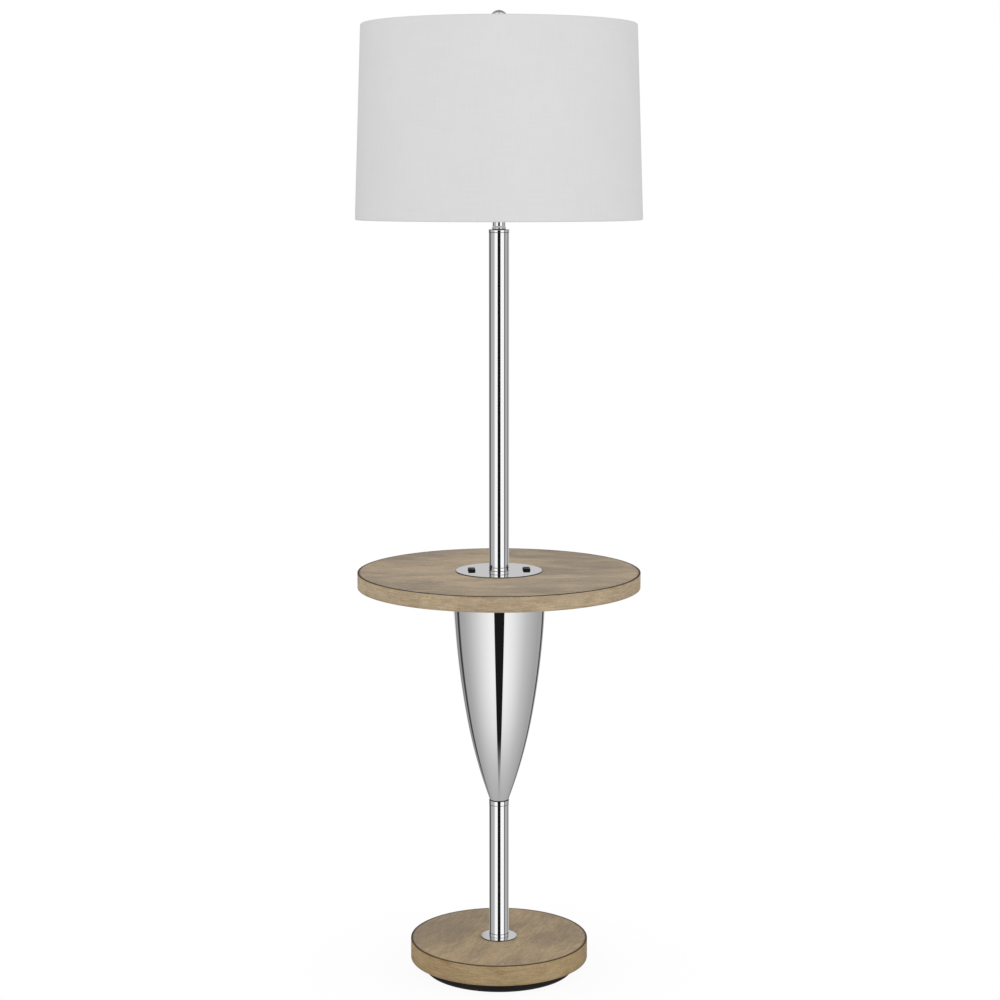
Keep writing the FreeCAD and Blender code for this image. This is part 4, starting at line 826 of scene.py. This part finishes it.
# ------------------ plate and power ports
# A mirror disc lies in a shallow seat in the table. Two black bezels stand on it over the ports,
# each with a folded steel shell round a white tongue. The power converter hangs under the table.
bright_plate = polished_finish("bright_plate", (0.93, 0.925, 0.95, 1), 0.05, 0.05, 0.0008,
                               edge=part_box("table_plate")[1].x - cut_edge)
port_steel = pitted_finish("port_steel", (0.62, 0.61, 0.59, 1), 0.25, 1800.0, 0.12, 0.1, 0.00002,
                           Metallic=1.0)
white_nylon = pitted_finish("white_nylon", (0.72, 0.71, 0.68, 1), 0.4, 2200.0, 0.06, 0.2, 0.00004)
paint(bright_plate, "table_plate")
paint(black_moulding, "usb_converter")
for side in ("left", "right"):
    paint(black_moulding, "usb_bezel_" + side, "usb_housing_" + side)
    paint(port_steel, "usb_shell_" + side)
    paint(white_nylon, "usb_tongue_" + side)

# ------------------ contacts of the ports
# Four thin strips of gold plated spring bronze let into the inner face of each white tongue. They
# stop a little short of its end, so that the plug's own contacts wipe over them.
contact_count, contact_pitch, contact_width, contact_height = 4, 0.0024, 0.0011, 0.0082
contact_proud, contact_sunk, contact_setback = 0.00012, 0.0002, 0.0006
contact_gold = pitted_finish("contact_gold", (0.80, 0.58, 0.26, 1), 0.26, 2000.0, 0.1, 0.1,
                             0.00002, Metallic=1.0)

contact_strips, entry, leave = new_effect(
    "contact_strips",
    {"Int": "Count", "Float": "Pitch", "Vector": "Size, Middle", "Material": "Finish"},
    {"Geometry": "Geometry"}, "GeometryNodeTree")
row_start = (entry["Count"] - 1.0) * entry["Pitch"] * -0.5
row_start = place_node(contact_strips, "ShaderNodeCombineXYZ", Y=row_start)
row_start = row_start.into("ShaderNodeVectorMath", entry["Middle"])
row_step = place_node(contact_strips, "ShaderNodeCombineXYZ", Y=entry["Pitch"])
places = entry["Count"].into("GeometryNodeMeshLine", mode="OFFSET", Start_Location=row_start,
                             Offset=row_step)
strip = entry["Size"].into("GeometryNodeMeshCube")
end_tree(places.into("GeometryNodeInstanceOnPoints", Instance=strip), entry, leave)

for side in ("left", "right"):
    low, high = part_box("usb_tongue_" + side)
    shell = sum(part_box("usb_shell_" + side), Vector()) / 2
    outwards = 1 if shell.x > (low.x + high.x) / 2 else -1
    face = high.x if outwards > 0 else low.x
    middle = Vector((face + outwards * (contact_proud - contact_sunk) / 2, (low.y + high.y) / 2,
                     high.z - contact_setback - contact_height / 2))
    contacts = grow("usb_contacts_" + side, contact_strips, Count=contact_count,
                    Pitch=contact_pitch, Middle=middle, Finish=contact_gold,
                    Size=(contact_proud + contact_sunk, contact_width, contact_height))
    fit(contacts, contact_gold, "brass", "stand")

# ------------------ upper pole and its collars
# The same nickel plated tube as the lower pole, but more than twice as long. Its foot collar stands
# on the plate, and the pipe inside clamps it against the cap collar under the neck.
make_pole("upper_pole")

# ------------------ neck
# A belled seat ring, undercut below, stands on the cap collar and carries the slim tube that runs
# up to the lamp head. Both are turned from steel, plated and buffed.
neck_undercut, neck_undercut_level, neck_bell, neck_wall = 0.001, 0.002, 0.009, 0.001
neck_sides, bell_steps = 96, 8


def bow(start, end, radius, steps):
    """Points after the first on an arc. A positive radius turns left on the way, a negative one
    right."""
    start, end = Vector(start), Vector(end)
    chord = end - start
    depth = math.sqrt(max(radius ** 2 - (chord.length / 2) ** 2, 0))
    left = Vector((-chord.y, chord.x)).normalized()
    centre = (start + end) / 2 + left * math.copysign(depth, radius)
    first = math.atan2(start.y - centre.y, start.x - centre.x)
    swing = 2 * math.asin(min(chord.length / 2 / abs(radius), 1)) * math.copysign(1, radius)
    return [(centre.x + abs(radius) * math.cos(first + swing * step / steps),
             centre.y + abs(radius) * math.sin(first + swing * step / steps))
            for step in range(1, steps)] + [tuple(end)]


low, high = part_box("neck_seat")
tube_low, tube_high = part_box("neck_tube")
undercut = (high.x - neck_undercut, low.z + neck_undercut_level)
bell_start = (high.x, undercut[1])
# The seat ring's foot, under its undercut bell, is painted dark: partly polish residue, partly
# painted shade.
fit_turned("neck_bell", "neck_seat",
           polished_finish("neck_nickel", joints=(low.z, low.z + 2 * joint_half)),
           [(rod_hole, low.z), (undercut[0], low.z), undercut, bell_start,
            *bow(bell_start, (tube_high.x, high.z), -neck_bell, bell_steps),
            (rod_hole, high.z)], neck_sides)
bright_nickel = polished_finish("bright_nickel")
fit_turned("neck_pipe", "neck_tube", bright_nickel,
           hoop(tube_high.x - neck_wall, tube_high.x, tube_low.z, tube_high.z), neck_sides)

# ------------------ harp, saddle and ferrules
# Nickel plated steel wire, bent to a bow that carries the shade over the bulb. Its two ends stand
# on the upturned tabs of the saddle, and a ferrule slides down over each joint to hold it there.
nickel_wire = pitted_finish("nickel_wire", (0.66, 0.65, 0.62, 1), 0.24, 1500.0, 0.12, 0.1, 0.00002,
                            Metallic=1.0)
paint(nickel_wire, "harp", "harp_saddle", "harp_sleeve_left", "harp_sleeve_right")

# ------------------ lamp holder and switch
# Plated shell and cap with a fibre liner, a moulded body, and a screw shell and leaf of brass. The
# turn knob on its stem sticks out in front.
brass_colour, brass_roughness, bulb_pitch = (0.72, 0.50, 0.20, 1), 0.3, 0.0036
nickel_shell = polished_finish("nickel_shell", (0.74, 0.73, 0.70, 1), 0.16, 0.10, 0.0005, 0.05)
grey_fibre = pitted_finish("grey_fibre", (0.20, 0.17, 0.13, 1), 0.85, 700.0, 0.3, 0.7, 0.0002)
black_phenolic = pitted_finish("black_phenolic", (0.014, 0.012, 0.011, 1), 0.34, 2400.0, 0.2, 0.3)
rolled_brass = pitted_finish("rolled_brass", brass_colour, brass_roughness, 1500.0, 0.15, 0.15,
                             0.00003, Metallic=1.0)
paint(nickel_shell, "socket_cap", "socket_shell")
paint(grey_fibre, "socket_liner")
paint(black_phenolic, "socket_body", "switch_knob")
paint(threaded_finish("brass_thread", brass_colour, brass_roughness, bulb_pitch), "screw_shell")
paint(rolled_brass, "centre_contact", "switch_stem")

# ------------------ bulb
# Opal glass globe blown with a short neck and cemented into a rolled screw cap of plated brass. It
# turns in the lamp holder's screw shell.
opal_glass = pitted_finish("opal_glass", (0.86, 0.85, 0.82, 1), 0.22, 600.0, 0.03, 0.05, 0.00002,
                           Subsurface_Weight=0.25, Subsurface_Scale=0.004, Coat_Weight=0.5,
                           Coat_Roughness=0.05)
paint(threaded_finish("cap_metal", (0.62, 0.62, 0.60, 1), 0.3, bulb_pitch), "bulb_cap")
paint(opal_glass, "bulb_glass")

# ------------------ shade
# White linen laminated on a stiff translucent backing, bent into a tapered drum and glued with a
# narrow overlap at the back. Both edges are rolled over a wire ring, and the spider's arms carry
# the upper one.
cloth, ring_wire, ring_gap = 0.0007, 0.0015, 0.0003
shade_sides, seam_overlap, seam_ramp, seam_clearance = 288, 0.012, 0.006, 0.00005
linen_colour, thread_pitch, thread_relief, hem_steps = (0.70, 0.70, 0.70), 0.00062, 0.00012, 10

low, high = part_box("shade_fabric")
roll = cloth + ring_gap + ring_wire
shade_bottom = high.x
shade_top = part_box("shade_top_ring")[1].x + ring_gap + cloth
middle_line, outward = [], []
for radius, level, first in ((shade_bottom - roll, low.z + roll, math.pi),
                             (shade_top - roll, high.z - roll, 0)):
    for step in range(hem_steps + 1):
        turn = first + math.pi * step / hem_steps
        outward.append((math.cos(turn), math.sin(turn)))
        middle_line.append((radius + (roll - cloth / 2) * math.cos(turn),
                            level + (roll - cloth / 2) * math.sin(turn)))
sides = [[(spot[0] + way[0] * half, spot[1] + way[1] * half)
          for spot, way in zip(middle_line, outward)] for half in (cloth / 2, -cloth / 2)]
profile = sides[0] + sides[1][::-1]
ways = outward + outward[::-1]
seam_start = math.pi / 2
overlap_turn, ramp_turn = seam_overlap / shade_bottom, seam_ramp / shade_bottom
turns = [seam_start + (math.tau - ramp_turn) * side / shade_sides
         for side in range(shade_sides + 1)]
turns += [seam_start + math.tau - ramp_turn * share for share in (0.75, 0.5, 0.25, 0)]
turns += [seam_start + math.tau + overlap_turn * share for share in (0.5, 1)]


def lift_at_seam(place, turn, radius, level):
    """The sheet's last end climbs on the first by its own thickness."""
    climb = (turn - seam_start - math.tau + ramp_turn) / ramp_turn
    climb = max(0.0, min(1.0, climb)) * (cloth + seam_clearance)
    return radius + ways[place][0] * climb, level + ways[place][1] * climb


fabric = turn_on_lathe("shade_cloth", profile, angles=turns, lift=lift_at_seam)
linen, shader = new_finish("white_linen", Specular_IOR_Level=0.25, Sheen_Weight=0.12,
                           Sheen_Roughness=0.5)
cut = place_node(shader.tree, "ShaderNodeUVMap", uv_map="around_and_along")


def threads(stretch, detail=3.0):
    """Noise drawn out along the threads of one direction."""
    laid = cut.into("ShaderNodeMapping", Scale=stretch)
    return noise(laid, 1.0, detail, noise_dimensions="2D")


slubs = threads((900, 20, 1)) + threads((20, 900, 1))
laid = cut.into("ShaderNodeSeparateXYZ")
over, under = [(laid[way] * (math.tau / thread_pitch)).reckon("SINE") for way in ("X", "Y")]
tone = slubs * 0.07 + threads((11, 11, 1), 4.0) * 0.04 + 0.91
shader.feed(Base_Color=tint(tone, linen_colour), Roughness=slubs * 0.1 + 0.78)
roughen(shader, slubs * 1.4 + over * under, 0.22, thread_relief)
fit(fabric, linen, "shade_linen", "shade", "shade_fabric")

backing = pitted_finish("shade_backing", (0.78, 0.77, 0.74, 1), 0.42, 900.0, 0.03, 0.1, 0.00003)
white_wire = pitted_finish("white_wire", (0.74, 0.73, 0.70, 1), 0.35, 1200.0, 0.05, 0.2, 0.00005)
paint(backing, "shade_liner")
paint(white_wire, "shade_top_ring", "shade_bottom_ring", "spider")

# ------------------ finial
# Knob turned from brass and plated: a foot, a cove, a slim neck and a bowl under a low dome. It
# screws down on the harp's stud and holds the spider there.
finial_foot, finial_foot_level, finial_cove_level = 0.008, 0.0025, 0.005
finial_neck, finial_neck_level, finial_edge_level = 0.0052, 0.013, 0.0257
finial_cove, finial_bowl, finial_bore, finial_bore_level = 0.005, 0.014, 0.00327, 0.0135
finial_sides, cove_steps, bowl_steps, dome_steps = 96, 6, 12, 10
low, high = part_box("finial")
rise = high.z - low.z - finial_edge_level
dome = (high.x ** 2 + rise ** 2) / (2 * rise)
foot_edge = (finial_foot, low.z + finial_foot_level)
cove_end = (finial_neck, low.z + finial_cove_level)
neck_end = (finial_neck, low.z + finial_neck_level)
bowl_end = (high.x, low.z + finial_edge_level)
fit_turned("finial_knob", "finial", bright_nickel, [
    (finial_bore, low.z), (finial_foot, low.z), foot_edge,
    *bow(foot_edge, cove_end, -finial_cove, cove_steps), neck_end,
    *bow(neck_end, bowl_end, finial_bowl, bowl_steps),
    *bow(bowl_end, (0, high.z), dome, dome_steps),
    (0, low.z + finial_bore_level), (finial_bore, low.z + finial_bore_level)],
    finial_sides, "finial")
